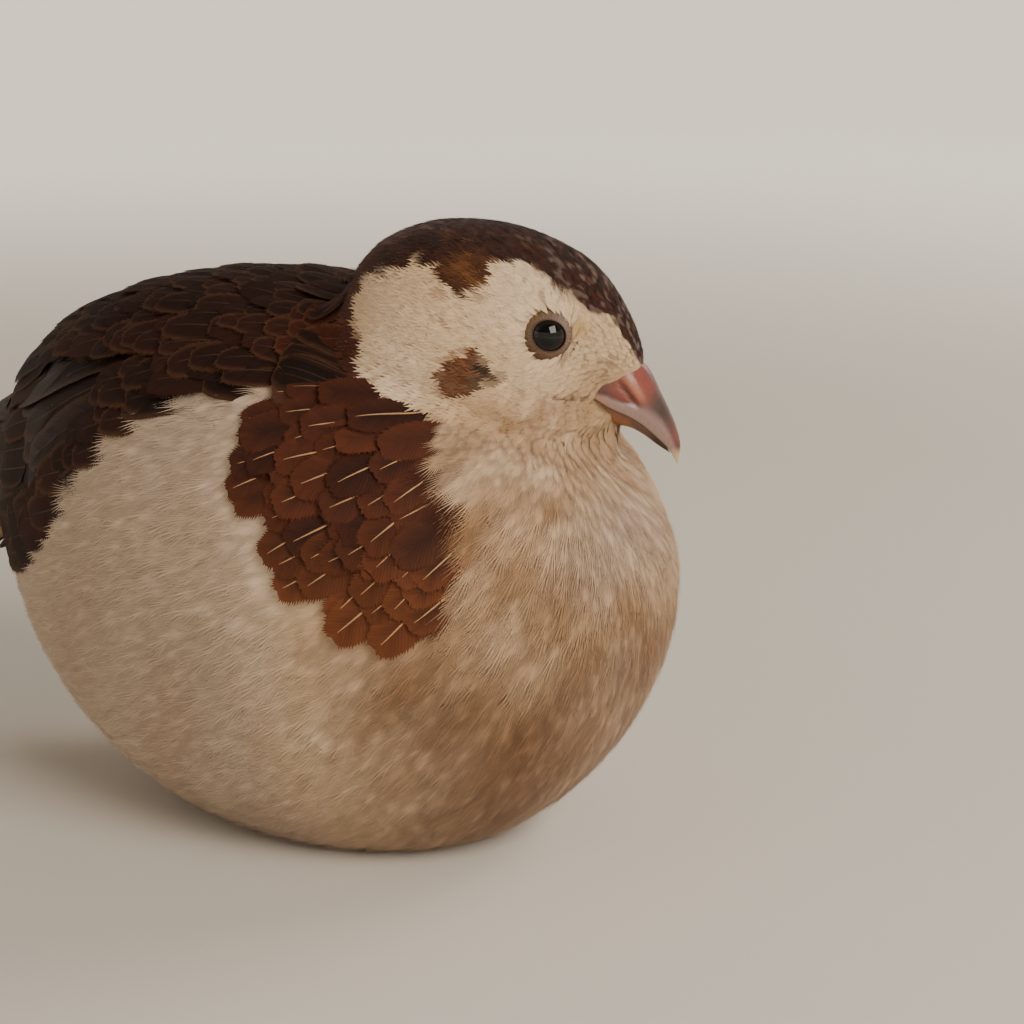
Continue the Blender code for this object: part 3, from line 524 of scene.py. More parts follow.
def head_marks(places, random):
    """Colours on the head: white face, dark cap with flecks, ear spot, small dark flecks before the eye."""
    q = in_head(places)
    forward, left, up = q[:, 0], np.abs(q[:, 1]), q[:, 2]
    wander = 0.6 * lumps(q, 3.0, 5)
    cap = ease((up - np.interp(forward, *CAP_EDGE.T) + wander) / 0.9 + 0.5)
    rear = ease((-25.2 - forward + 0.5 * wander) / 0.9 + 0.5)
    # The cap runs on down the middle of the nape to the dark back.
    rear = np.maximum(rear, ease((5.0 + 0.5 * wander - left) / 1.5) * ease((-15.0 - forward) / 2.0))
    # Forehead feathers have pale grey tips, and fewer of them do further back.
    pale = (random[:, 2] > 0.86 - 0.25 * ease((forward - 2.0) / 9.0)) * ease((forward + 6.0) / 8.0)
    lobe = ease(1.2 - np.hypot((forward + 10.2) / 4.4, (up - 8.6) / 3.0))
    capped = blend(
        CAP_BROWN,
        (DARK_CHESTNUT, 0.5 + 0.6 * lumps(q, 4.0, 7)),
        (GREY_BLACK, (random[:, 1] > 0.62) * 0.5),
        (OCHRE, (random[:, 0] > 0.90) * 0.25),
        ("#66554e", 0.6 * pale),
        (OCHRE, lobe * (0.30 + 0.45 * (random[:, 2] > 0.5))))
    ear = np.hypot((forward + 10.7) / 3.8, (up + 4.3) / 3.4) + 0.26 * lumps(q, 2.2, 11)
    ear = ear + 0.30 * ease((-11.6 - forward) / 1.5) * ease((-4.2 + 0.9 * lumps(q, 2.0, 13) - up) / -1.2)
    spot = blend("#55301c", ("#21140f", ease((forward + 10.7) / 1.2)),
                 ("#6b3319", 0.8 * ease((up + 3.3) / 1.2) * ease((-8.6 - forward) / 2.0)))
    # The cheek's lower edge and the face behind the bill have a warm buff tinge.
    buff = ease((-5.5 - up) / 6.0) * ease((forward + 15.0) / 7.0)
    lore = ease(1.3 - np.hypot((forward - 7.6) / 3.4, (up + 3.6) / 2.0)) * (random[:, 1] > 0.72)
    # The line of the mouth runs on behind the bill as a thin darker line, painted shade as of a crease.
    crease = ease(1.0 - np.abs(up + 8.5 + 0.25 * (forward - 2.0)) / 0.36) * ease((forward + 0.5) / 2.0)
    speck = ((random[:, 0] > 0.965) & (random[:, 1] > 0.4)) * (1.0 - cap)
    colours = blend(
        WHITE,
        (WARM_WHITE, 0.45 + 0.5 * lumps(q, 9.0, 3)),
        (BUFF, buff * (0.62 + 0.3 * lumps(q, 4.0, 4))),
        ("#b59a74", 0.45 * ease((forward - 2.0) / 6.0)),
        ("#a8874e", 0.75 * ease(1.0 - np.hypot(forward - 4.6, up - 1.2) / 2.2)),
        ("#a08050", 0.55 * ease(1.0 - np.hypot(forward + 0.6, up - 4.0) / 1.6)),
        (capped, cap),
        (blend(capped, ("#4a2113", 0.55)), rear),
        (spot, ease((1.0 - ear) / 0.22) * (left > 6.0) * (0.88 + 0.12 * random[:, 0])),
        ("#5a4030", 0.55 * lore),
        # Painted shade along the line of the mouth behind the bill.
        ("#5a3d2c", 0.8 * crease * (forward < 7.0)),
        ("#8a6b50", 0.6 * speck))
    dark = np.maximum(cap, rear)
    marks = np.stack([0.12 * dark, 0.25 * dark * (random[:, 0] > 0.6), np.zeros_like(cap), random[:, 1]], -1)
    return colours * (1.0 + (0.03 + 0.10 * dark) * (2.0 * random[:, 2] - 1.0))[:, None], marks


def patch_share(places):
    """1 in the chestnut patch on each side of the breast, with an uneven edge."""
    depth = inside(places[:, 0], places[:, 2], PATCH) + 0.5 * lumps(places, 5.0, 17)
    return ease(depth / 0.8 + 0.5) * (np.abs(places[:, 1]) > 9.0)


def mantle_share(places):
    """1 on the dark back: above a line that runs from the shoulder down along the wing's lower edge."""
    edge = np.interp(places[:, 0], *MANTLE_EDGE.T)
    return ease((places[:, 2] - edge + 0.6 * lumps(places, 5.0, 23)) / 0.8 + 0.5)


def body_marks(places, random):
    """Colours on the body: white with a warm brown wash on the breast, chestnut sides and a dark back."""
    x, _, z = places.T
    patch, back = patch_share(places), mantle_share(places)
    rufous = blend(CHESTNUT, (DARK_CHESTNUT, 0.35 + 0.5 * lumps(places, 5.0, 43)),
                   ("#6e3f26", 0.6 * ease((52.0 - z) / 10.0)))
    dark = blend(BACK_BROWN, (DARK_CHESTNUT, 0.45 + 0.6 * lumps(places, 8.0, 47)),
                 ("#4b2214", 0.8 * ease((x + 8.0) / 9.0) * (random[:, 1] > 0.25)))
    breast = ease((x - 6.0) / 15.0) * ease((77.0 - z) / 8.0)
    lower = ease((x - 12.0) / 20.0) * ease((38.0 - z) / 14.0)
    speck = (random[:, 0] > 0.985) & (random[:, 1] > 0.3)
    colours = blend(
        WHITE,
        (WARM_WHITE, 0.25 + 0.30 * lumps(places, 14.0, 31)),
        # Painted shade: greyer towards the rear of the body, as if the flank fell into shade.
        ("#a3938a", 0.45 * ease((14.0 - x) / 20.0)),
        (BUFF, breast * (0.68 + 0.25 * lumps(places, 9.0, 37))),
        (BROWN_WASH, lower * (0.50 + 0.22 * lumps(places, 9.0, 41))),
        ("#a59890", 0.5 * (ease((x - 36.0) / 8.0) * ease((z - 34.0) / 14.0))),
        # Darker towards the bottom, near the floor.
        (BROWN_WASH, 0.30 * ease((12.0 - z) / 10.0)),
        ("#7a6250", 0.35 * speck * ease((45.0 - z) / 10.0)),
        (rufous, patch),
        (dark, back))
    firm = np.maximum(patch, back)
    colours = colours * (1.0 + (0.03 + 0.14 * firm) * (2.0 * random[:, 2] - 1.0))[:, None]
    shaft = np.maximum(patch * (1.0 - back) * (random[:, 1] > 0.25), back * 0.08)
    shaft = np.maximum(shaft, (1.0 - firm) * 0.30 * (random[:, 0] > 0.5))
    rim = back * 0.30 * (random[:, 0] > 0.3)
    bars = back * 0.35 * (random[:, 2] > 0.5)
    return colours, np.stack([shaft, rim, bars, random[:, 1]], -1)


# Skin


def head_reach(places):
    """How far out a place lies from the head's middle, where 1 is a shell a little larger than the head."""
    return reach_in(in_head(places), *HEAD_SHELL)


def head_share(places):
    """1 on the head, 0 on the body."""
    return ease((1.10 - head_reach(places)) / 0.10)


def egg_mesh(formula, turns, sides):
    """A closed form from a formula of turn and angle, with a pole at each end, as vertices and triangles."""
    grid = formula(np.linspace(0.0, np.pi, turns)[:, None], np.linspace(-np.pi, np.pi, sides, endpoint=False)[None, :])
    return closed_form(grid[1:-1], grid[[0, -1]].mean(axis=1))


def eased_surface(places, edges):
    """The surface with its voxel steps evened out: each vertex moves towards the mean of its neighbours, little
    over most of the bird and much where the head, neck and torso meet, so that no crease is left there."""
    count = len(places)
    degree = np.bincount(edges.ravel(), minlength=count)[:, None]
    q = in_head(places)
    body = np.minimum(reach_in(places, *TORSO_EGG), reach_in(places, *NECK))
    limit = 8.0 + 7.0 * ease((-11.5 - q[:, 2]) / 2.5)
    junction = ease((1.40 - np.maximum(reach_in(q, *HEAD_EGG), body)) / 0.25) * ease((limit - q[:, 0]) / 4.0)
    for step in range(JOIN_ROUNDS):
        total = np.stack([
            np.bincount(edges[:, 0], places[edges[:, 1], k], count)
            + np.bincount(edges[:, 1], places[edges[:, 0], k], count) for k in range(3)
        ], -1)
        factor = 0.6 * junction + (0.5 * (1.0 - junction) if step < OVERALL_ROUNDS else 0.0)
        places = places + (total / degree - places) * factor[:, None]
    return places


def make_skin():
    """The skin: torso, neck, throat, chin and head joined, remeshed into one surface, smoothed, and sunk by the
    coat's depth. It carries the plumage's own colours, darker, for where the coat parts."""
    points, faces, count = [], [], 0
    for formula, turns, sides in ((torso_points, 90, 120), (ellipsoid(*NECK), 40, 60), (ellipsoid(*THROAT), 30, 40),
                                  (ellipsoid(*CHIN), 24, 32), (head_points, 60, 80)):
        part_points, part_faces = egg_mesh(formula, turns, sides)
        points.append(part_points)
        faces.append(part_faces + count)
        count += len(part_points)
    skin = new_mesh("skin", np.concatenate(points), np.concatenate(faces))
    remesh = skin.modifiers.new("one surface", "REMESH")
    remesh.mode = "VOXEL"
    remesh.voxel_size = SKIN_VOXEL * MM
    mesh = bpy.data.meshes.new_from_object(skin.evaluated_get(bpy.context.evaluated_depsgraph_get()))
    skin.modifiers.clear()
    skin.data = mesh
    places = eased_surface(places_of(mesh), read(mesh.edges, "vertices", 2, np.int32))
    move_vertices(mesh, places)
    face = ease((in_head(places)[:, 0] - 1.0) / 8.0)
    depth = BODY_COAT + (HEAD_COAT * (1.0 - 0.75 * face) - BODY_COAT) * head_share(places)
    places = places - read(mesh.vertices, "normal", 3) * depth[:, None]
    places[:, 2] = np.maximum(places[:, 2], LOWEST_SKIN)
    move_vertices(mesh, places)
    mesh.polygons.foreach_set("use_smooth", np.full(len(mesh.polygons), True))

    places = places_of(mesh)
    still = np.full((len(places), 3), 0.5)
    share = head_share(places)[:, None]
    tint = body_marks(places, still)[0] * (1.0 - share) + head_marks(places, still)[0] * share
    set_colours(skin, "tint", tint * 0.8)
    set_uv(skin, "OFBake", body_atlas(places))
    # Bare skin with down on it: dull, with a faint mottle, so that gaps in the coat do not shine.
    down = tint_material("skin under the down", 0.8, mottle=0.2, specular=0.2)
    settle(skin, ("torso", "neck", "head"), down)
    return skin


def read_surface(mesh):
    """Places spread over the skin's faces, three for each, with normals, in the bird's axes, and a search tree.
    A place is a mix of its face's four corners by two random shares, and so is its normal."""
    points, normals = places_of(mesh, float), read(mesh.vertices, "normal", 3, float)
    corners = read(mesh.loops, "vertex_index", 1, np.int32).reshape(-1, 4)
    tree = BVHTree.FromPolygons(points.tolist(), corners.tolist())
    s, t = np.random.default_rng(SEED).uniform(size=(2, 3 * len(corners), 1))
    weights = np.concatenate([(1 - s) * (1 - t), s * (1 - t), s * t, (1 - s) * t], -1)[..., None]
    corners = np.repeat(corners, 3, axis=0)
    return np.sum(points[corners] * weights, axis=1), unit(np.sum(normals[corners] * weights, axis=1)), tree


def spread(places, spacing, seed):
    """Indices of places that lie no closer together than spacing, taken in a random order."""
    tree = KDTree(len(places))
    for i, place in enumerate(places.tolist()):
        tree.insert(place, i)
    tree.balance()
    free = np.ones(len(places), dtype=bool)
    kept = []
    for i in np.random.default_rng(seed).permutation(len(places)):
        if free[i]:
            kept.append(i)
            for _, near, _ in tree.find_range(places[i], spacing[i]):
                free[near] = False
    return np.array(kept)


def eye_axes(side):
    """The eye's centre, its outward direction and two directions across it. side is -1 for the right eye."""
    centre = from_head(EYE_PLACE * np.array([1.0, side, 1.0]))
    aim = unit((EYE_OUTWARD * np.array([1.0, side, 1.0])) @ HEAD_AXES.T)
    first = unit(np.cross(aim, np.array([0.0, 0.0, 1.0])))
    return centre, aim, first, np.cross(aim, first)


def round_eye(points, side):
    """How far points lie out along an eye's axis, how far beside it, and the axis."""
    centre, aim, _, _ = eye_axes(side)
    away = points - centre
    out = away @ aim
    return out, np.linalg.norm(away - out[..., None] * aim, axis=-1), aim


def lie(places, normals):
    """The way the feathers point: away from the bill on the head, parting round the eyes, and away from the
    throat and back on the body."""
    on_head = head_share(places)[:, None]
    from_bill = unit(in_head(places) - np.array([19.0, 0.0, -8.0])) @ HEAD_AXES.T
    for side in (-1, 1):
        away = places - eye_axes(side)[0]
        reach = np.linalg.norm(away, axis=1, keepdims=True)
        from_bill = from_bill + 1.3 * away / reach * np.exp(-((reach - 4.0) / 1.6) ** 2)
    from_throat = unit(places - np.array([26.0, 0.0, 70.0])) + np.array([-0.5, 0.0, 0.0])
    way = from_bill * on_head + from_throat * (1.0 - on_head)
    return unit(way - dot(way, normals) * normals)


def spines(tree, roots, normals, lengths, steps, turn):
    """Lines that start at the roots and follow the lie, turned a little, each step ending at the nearest place on
    the skin: points, normals and sideways directions."""
    points, ups, sides = [roots], [normals], []
    for _ in range(steps):
        way = lie(points[-1], ups[-1])
        way = unit(way + np.cross(ups[-1], way) * turn[:, None])
        sides.append(np.cross(ups[-1], way))
        ahead = points[-1] + way * (lengths / steps)[:, None]
        found = [tree.find_nearest(point) for point in ahead.tolist()]
        points.append(np.array([f[0] for f in found]))
        ups.append(unit(np.array([f[1] for f in found])))
    sides.append(sides[-1])
    return [np.stack(points, 1), np.stack(ups, 1), unit(np.stack(sides, 1))]


# Feathers


class Vane:
    """The outline and barbs of one kind of feather, in shares of its length and half width.

    A barb leaves the shaft at s and ends sweep * (0.75 + 0.5 s) * (1 - rounded s^6) further on and w(s) across,
    where w is the power blunt of sin(pi * (0.16 + 0.84 s)), so that the last barbs close the tip. The barbs
    touch up to the share closed of their length, then part."""

    def __init__(self, barbs, closed, sweep, blunt, rounded=0.8, base=0.04):
        s = np.linspace(base, 1.0, barbs + 1)
        middle = 0.5 * (s[1:] + s[:-1])
        along, across, uv = [s], [np.zeros_like(s)], [np.stack([np.zeros_like(s), s], -1)]
        for side in (-1.0, 1.0):
            for spot, share in ((s, closed), (middle, 1.0)):
                along.append(spot + share * sweep * (0.75 + 0.5 * spot) * (1.0 - rounded * spot**6))
                across.append(side * share * np.abs(np.sin(np.pi * (0.16 + 0.84 * spot))) ** blunt)
                uv.append(np.stack([np.full_like(spot, side * share), spot], -1))
        self.along = np.concatenate(along) / np.concatenate(along).max()
        self.across = np.concatenate(across)
        self.uv = np.concatenate(uv)
        i = np.arange(barbs)
        faces = []
        for start, flip in ((barbs + 1, True), (3 * barbs + 2, False)):
            tips = start + barbs + 1
            for trio in ((i, i + 1, start + i + 1), (i, start + i + 1, start + i),
                         (start + i, start + i + 1, tips + i)):
                trio = np.stack(trio, -1)
                faces.append(trio[:, ::-1] if flip else trio)
        self.faces = np.concatenate(faces)
        self.tip = np.abs(self.uv[:, 0]) == 1.0


def make_vanes(name, vane, lines, half_widths, lift, camber, colours, marks, atlas, seed, ragged, softness,
               patch=0.003, centre=None):
    """Many feathers as one mesh. Each vertex lies at its share of the feather's line, out to the side by the
    outline, and up by lift at that share less camber times the square of how far across it is, both less on a
    smaller feather. centre is a colour that lies along the shaft, and how much of it each feather has."""
    draw = np.random.default_rng(seed)
    count, stations = lines[0].shape[:2]
    verts = len(vane.along)
    # The free ends of the barbs are uneven in length and height.
    uneven = draw.normal(size=(count, verts)) * vane.tip
    across = vane.across * (1.0 + BARB_WIDTH_SPREAD * ragged * uneven)
    share = vane.along + BARB_LENGTH_SPREAD * ragged * uneven
    spot = share * (stations - 1)
    low = np.clip(np.floor(spot).astype(int), 0, stations - 2)
    part = (spot - low)[..., None]
    row = np.arange(count)[:, None]
    at, up, out = (line[row, low] * (1.0 - part) + line[row, low + 1] * part for line in lines)
    up, out = unit(up), unit(out)
    size = (half_widths / half_widths.max())[:, None]
    rise = lift(share) * size - camber * size * across**2 + BARB_HEIGHT_SPREAD * ragged * uneven * size
    rise = rise + draw.normal(size=(count, 1)) * TILT_SPREAD * across * half_widths[:, None]
    place = at + out * (across * half_widths[:, None])[..., None] + up * rise[..., None]
    place[..., 2] = np.maximum(place[..., 2], LOWEST_FEATHER)
    faces = (vane.faces[None] + (np.arange(count) * verts)[:, None, None]).reshape(-1, 3)
    piece = new_mesh(name, place.reshape(-1, 3), faces)
    colours = np.repeat(colours[:, None, :], verts, axis=1)
    if centre is not None:
        reach = np.clip(1.0 - np.abs(vane.uv[:, 0]) / 0.75, 0.0, 1.0) * ease((1.02 - vane.uv[:, 1]) / 0.25)
        colours = blend(colours, (centre[0], centre[1][:, None] * reach))
    set_colours(piece, "plumage", colours.reshape(-1, 3))
    set_colours(piece, "marks", np.repeat(marks, verts, axis=0))
    set_uv(piece, "barb", np.tile(vane.uv, (count, 1)))
    local = (vane.uv * np.array([0.5, 1.0]) + np.array([0.5, 0.0])) * patch
    set_uv(piece, "OFBake", (atlas[:, None, :] + local).reshape(-1, 2))
    # The shading normals lean to the body's, so that a coat shades as one soft body.
    own = read(piece.data.vertices, "normal", 3).reshape(count, verts, 3)
    own = own * np.sign(dot(own, up) + 1e-6)
    soft = unit(up * softness + own * (1.0 - softness) + draw.normal(size=(count, 1, 3)) * NORMAL_SPREAD)
    piece.data.normals_split_custom_set_from_vertices(soft.reshape(-1, 3).astype(np.float32).tolist())
    return piece


def body_atlas(places):
    """A place on the skin's unwrap: round the torso's axis, and along it; the head has its own part."""
    x, y, z = places.T
    round_body = np.arctan2(y, z - 42.0) / (2.0 * np.pi) + 0.5
    body = np.stack([0.01 + 0.97 * round_body, 0.01 + 0.60 * (x + 70.0) / 120.0], -1)
    q = in_head(places)
    round_head = np.arctan2(q[:, 1], q[:, 2]) / (2.0 * np.pi) + 0.5
    head = np.stack([0.01 + 0.97 * round_head, 0.64 + 0.34 * (q[:, 0] + 30.0) / 48.0], -1)
    return np.where(head_share(places)[:, None] > 0.5, head, body)


def wing_cover(places):
    """Whether the folded wing hides the body, so that no small feather grows there: between two angles from the
    top of the back, which both grow towards the rump."""
    x, y, z = places.T
    _, _, _, level = torso_section(x)
    angle = np.degrees(np.arctan2(np.abs(y), z - level))
    high = 17.0 + 17.0 * ease((x + 46.0) / 14.0)
    low = between(BED_LOW_ANGLES, ease((BED_DROP_FROM - x) / (BED_DROP_FROM - BED_DROP_TO)))
    return (x < 1.0) & (x > -46.0) & (angle > high) & (angle < low - 12.0)


def over_lids(points):
    """Lifts feathers that would start inside an eyeball on to its lids, straight out along its axis. Returns the
    points, and whether each feather stays clear of the open eye."""
    clear = np.ones(len(points), dtype=bool)
    for side in (-1, 1):
        out, beside, aim = round_eye(points, side)
        clear &= ~np.any((beside < EYE_CLEAR) & (out > 0.0), axis=1)
        level = np.sqrt(np.maximum((EYE_RADIUS + 0.16) ** 2 - beside**2, 0.0)) - 0.1
        rise = np.maximum(level - out, 0.0) * (out > 0.0) * (beside < 3.6)
        points = points + rise[..., None] * aim
    return points, clear


def make_coat(skin):
    """All the small feathers: soft ones on the white parts, firm ones on back and patch, tiny ones on the head."""
    places, normals, tree = read_surface(skin.data)
    # Loose barbs scatter light, so white parts look soft. Firm vanes have closed barbs and look smoother.
    soft_barbs = feather_material("soft body feathers", 0.055, 0.8, 0.08)
    firm_barbs = feather_material("firm contour feathers", 0.045, 0.75, 0.0, strand=0.10)
    q = in_head(places)
    bare = (inside(q[:, 0], q[:, 2], BARE_BILL) > 0.0) & (q[:, 0] > 5.0)
    for side in (-1, 1):
        out, beside, _ = round_eye(places, side)
        bare |= (beside < EYE_BARE) & (out > 0.0)
    on_head, nape = head_share(places), q[:, 0] < -25.0
    body = ((on_head < 0.5) | nape) & ~wing_cover(places) & (places[:, 2] > 1.0)
    way = lie(places, normals)

    def dark(spots, least=0.5):
        """Whether a place lies on the dark back or the chestnut patch, where firm feathers show."""
        return np.maximum(mantle_share(spots), patch_share(spots)) > least

    front = np.clip((q[:, 0] + 10.0) / 22.0, 0.0, 1.0)
    near = ease((1.5 - head_reach(places)) / 0.4)
    # Name, where it grows, spacing, length, outline, half width as a share of length, steps on the skin, lift,
    # camber, markings, material, raggedness and softness.
    kinds = (
        ("coat_soft", body & ~dark(places + way * 6.5), 1.18 - 0.40 * near, 9.5 - 5.3 * near,
         Vane(16, 0.34, 0.80, 0.7, 0.1), 0.25, 4, lambda s: 0.1 + (BODY_COAT - 0.35) * s, 0.4, body_marks,
         soft_barbs, 1.3, 0.92),
        ("coat_firm", body & dark(places + way * 9.0), np.full_like(near, 2.4), 12.0 - 2.0 * near,
         Vane(28, 0.86, 0.26, 0.60), 0.26, 5, lambda s: 0.1 + (BODY_COAT + 0.1) * ease(s * 1.05), 0.5, body_marks,
         firm_barbs, 0.7, 0.72),
        ("coat_head", (on_head >= 0.5) & ~bare & ~nape, 0.58 - 0.18 * front, 4.2 - 2.6 * front,
         Vane(5, 0.5, 0.8, 0.8, 0.1), 0.24, 2, lambda s: 0.04 + 0.50 * s, 0.08, head_marks,
         soft_barbs, 0.9, 0.93),
    )
    for number, (name, grows, spacing, length, vane, width, steps, lift, camber, marking, finish, ragged,
                 softness) in enumerate(kinds):
        pool = np.flatnonzero(grows)
        picked = pool[spread(places[pool], spacing[pool], SEED + number)]
        draw = np.random.default_rng(SEED + 50 + number)
        random = draw.uniform(size=(len(picked), 3))
        lengths = length[picked] * draw.uniform(0.85, 1.15, len(picked))
        turn = 0.08 * draw.normal(size=len(picked))
        lines = spines(tree, places[picked], normals[picked], lengths, steps, turn)
        kept, centre = np.ones(len(picked), dtype=bool), None
        if name == "coat_head":
            lines[0], kept = over_lids(lines[0])
        if name == "coat_firm":
            # Over the folded wings they lie higher.
            _, rise, _, level = torso_section(lines[0][..., 0])
            over = ease((lines[0][..., 2] - level) / rise * 4.0 - 2.2) * ease((4.0 - lines[0][..., 0]) / 8.0)
            lines[0] += lines[1] * (0.9 * over)[..., None]
            kept = dark(lines[0][:, -1], 0.9)
        lines, lengths, random = [line[kept] for line in lines], lengths[kept], random[kept]
        roots, seen = lines[0][:, 0], lines[0][:, -1]
        if name == "coat_firm":
            patch = patch_share(seen) * (1.0 - mantle_share(seen))
            centre = 0.85 * patch * (0.4 + 0.6 * random[:, 0]) + 0.35 * (1.0 - patch)
        else:
            seen = 0.3 * lines[0][:, -2] + 0.7 * seen
        colours, marks = marking(seen, random)
        order = np.argsort(roots[:, 0] + 200.0 * (roots[:, 1] > 0.0))
        pieces = -(-len(order) // (PIECE_LIMIT // len(vane.faces)))
        for part, chunk in enumerate(np.array_split(order, pieces)):
            piece = make_vanes(
                f"{name}_{part}", vane, [line[chunk] for line in lines], lengths[chunk] * width, lift, camber,
                colours[chunk], marks[chunk], body_atlas(roots[chunk]), SEED + 10 * number + part, ragged, softness,
                centre=None if centre is None else (GREY_BLACK, centre[chunk]))
            settle(piece, (), finish)


# Wings and tail

# Tiers of the wing, from the flight feathers up: name, count, first and last root (back, around), length, half
# width, height from root to tip, and turn, then how strong the rim, bars and shaft show.
WING_TIERS = (
    ("primaries", 6, ((38.0, 39.0), (43.0, 28.0)), (38.0, 44.0), 3.9, (-2.2, -1.4), (-9.0, -15.0), (0.22, 0.10, 0.06)),
    ("secondaries", 10, ((21.0, 33.0), (24.0, 14.0)), (31.0, 43.0), 4.3, (-2.0, -0.6), (15.0, 0.0),
     (0.24, 0.12, 0.06)),
    ("tertials", 4, ((23.0, 21.0), (26.0, 9.0)), (38.0, 43.0), 4.9, (-1.8, -0.3), (4.0, 0.0), (0.24, 0.20, 0.08)),
    ("greater_coverts", 12, ((12.0, 28.5), (13.0, 12.0)), (19.0, 23.0), 3.7, (-1.8, -0.4), (17.0, 3.0),
     (0.28, 0.12, 0.06)),
    ("median_coverts", 13, ((4.0, 26.5), (4.0, 12.0)), (14.0, 16.0), 3.3, (-1.6, -0.2), (13.0, 5.0),
     (0.30, 0.12, 0.06)),
    ("lesser_coverts", 14, ((-3.0, 23.5), (-3.0, 11.0)), (10.5, 12.0), 2.9, (-1.4, 0.0), (13.0, 5.0),
     (0.30, 0.10, 0.06)),
)
# Tiers of the tail: name, count, half spread of the roots, start along the tail, length, half width, height from
# root to tip, and the fan's half angle.
TAIL_TIERS = (
    ("tail_feathers", 12, 5.2, 6.0, 28.0, 2.9, (0.0, -0.2), 21.0),
    ("upper_tail_coverts", 9, 5.6, 0.0, 28.0, 3.5, (2.2, 1.1), 19.0),
    ("upper_tail_coverts_front", 8, 5.4, -6.0, 23.0, 3.6, (3.8, 2.7), 17.0),
    ("under_tail_coverts", 8, 5.2, -2.0, 28.0, 3.6, (-2.6, -1.2), 18.0),
    ("rump_coverts", 8, 5.6, -12.0, 20.0, 3.8, (5.4, 4.6), 15.0),
)


def make_tier(name, vane, points, ups, half, camber, colours, marks, atlas, number, ragged, patch, node, finish):
    """A tier of long feathers along lines of points, with sideways directions square to each line and its normals.
    The first tier stands for the node."""
    sides = unit(np.cross(ups, unit(np.gradient(points, axis=1))))
    piece = make_vanes(name, vane, (points, ups, sides), np.full(len(points), half), np.zeros_like, camber,
                       colours, marks, atlas, SEED + number, ragged, 0.35, patch)
    settle(piece, () if number else (node,), finish)


def make_wing(side):
    """A folded wing: six tiers of feathers on the wing's surface, each row over the roots of the one behind. Roots,
    lengths and turns change evenly along a tier, and a feather rises smoothly from its root to its tip."""
    word = "right" if side < 0 else "left"
    # Hooked barbs close a flight feather, so it looks smooth, with fine even lines.
    barbs = feather_material(f"flight feathers {word}", 0.022, 0.6, 0.0)
    vane = Vane(34, 0.97, 0.20, 0.50)
    step = np.linspace(0.0, 1.0, 9)
    for number, (name, count, roots, length, half, heights, turns, (rim, bars, shaft)) in enumerate(WING_TIERS):
        draw = np.random.default_rng(SEED + 100 * number + 7)
        share = np.linspace(0.0, 1.0, count)
        root = between(roots, share[:, None])
        turn = np.radians(between(turns, share) + draw.normal(size=count) * 0.8)
        reach = step * (between(length, share) * draw.uniform(0.97, 1.03, count))[:, None]
        back = root[:, :1] + reach * np.cos(turn)[:, None]
        around = root[:, 1:] + reach * np.sin(turn)[:, None]
        height = between(heights, ease(step / 0.85)) + 0.08 * draw.normal(size=(count, 1))
        points, ups = wing_place(side, back, around, height)
        tone = draw.uniform(size=(count, 3))
        colours = blend(WING_BROWN, (BACK_BROWN, tone[:, 0])) * (0.85 + 0.3 * tone[:, 1:2])
        marks = np.stack([shaft * (0.6 + 0.4 * tone[:, 1]), rim * (0.5 + 0.5 * tone[:, 2]), np.full(count, bars),
                          tone[:, 0]], -1)
        cell = np.arange(count)
        atlas = np.stack([0.02 + 0.12 * (cell % 8), 0.02 + 0.13 * number + 0.06 * (cell // 8)], -1)
        make_tier(f"wing_{word}_{name}", vane, points, ups, half, 0.45, colours, marks, atlas, number, 0.12, 0.055,
                  f"wing_{word}", barbs)


def make_tail():
    """The short tail: a fan of twelve feathers with three rows of coverts above and one below. The middle feathers
    are the longest, by a parabola."""
    # As on the wing, with slightly wider lines.
    barbs = feather_material("tail feathers", 0.028, 0.6, 0.0)
    vane = Vane(26, 0.96, 0.20, 0.6)
    step = np.linspace(0.0, 1.0, 7)
    for number, (name, count, half_spread, start, length, half, heights, fan) in enumerate(TAIL_TIERS):
        draw = np.random.default_rng(SEED + 900 + number)
        share = np.linspace(-1.0, 1.0, count)
        turn = np.radians(fan * share + draw.normal(size=count) * 0.8)
        reach = length * (1.0 - 0.16 * share**2) * draw.uniform(0.96, 1.04, count)
        along = start + step * (reach * np.cos(turn))[:, None]
        across = (half_spread * share)[:, None] + step * (reach * np.sin(turn))[:, None]
        height = between(heights, step) + (0.5 * (1.0 - np.abs(share)))[:, None]
        points = tail_place(along, across, height)
        ups = unit(tail_place(along, across, height + 1.0) - points)
        tone = draw.uniform(size=(count, 3))
        base, other, bars = (WARM_WHITE, BUFF, 0.0) if name == "under_tail_coverts" else (BACK_BROWN, CHESTNUT, 0.45)
        colours = blend(base, (other, 0.5 * tone[:, 0]))
        marks = np.stack([np.full(count, 0.15), 0.4 * tone[:, 1], np.full(count, bars), tone[:, 2]], -1)
        atlas = np.stack([0.02 + 0.075 * np.arange(count), np.full(count, 0.02 + 0.2 * number)], -1)
        make_tier(name, vane, points, ups, half, 0.35, colours, marks, atlas, number, 0.4, 0.06, "tail", barbs)


# Bill

BILL_RED = "#7f3728"
BILL_DARK = "#33201c"
BILL_TIP = "#b39a74"
# The upper edge of the pale band along the cutting edge, forward and up in the head's axes.
BAND_EDGE = np.array((
    (6.0, -8.6), (8.8, -9.1), (10.8, -10.0), (13.1, -10.6), (15.1, -11.6), (16.6, -13.0), (17.8, -15.0),
    (19.0, -18.0)))


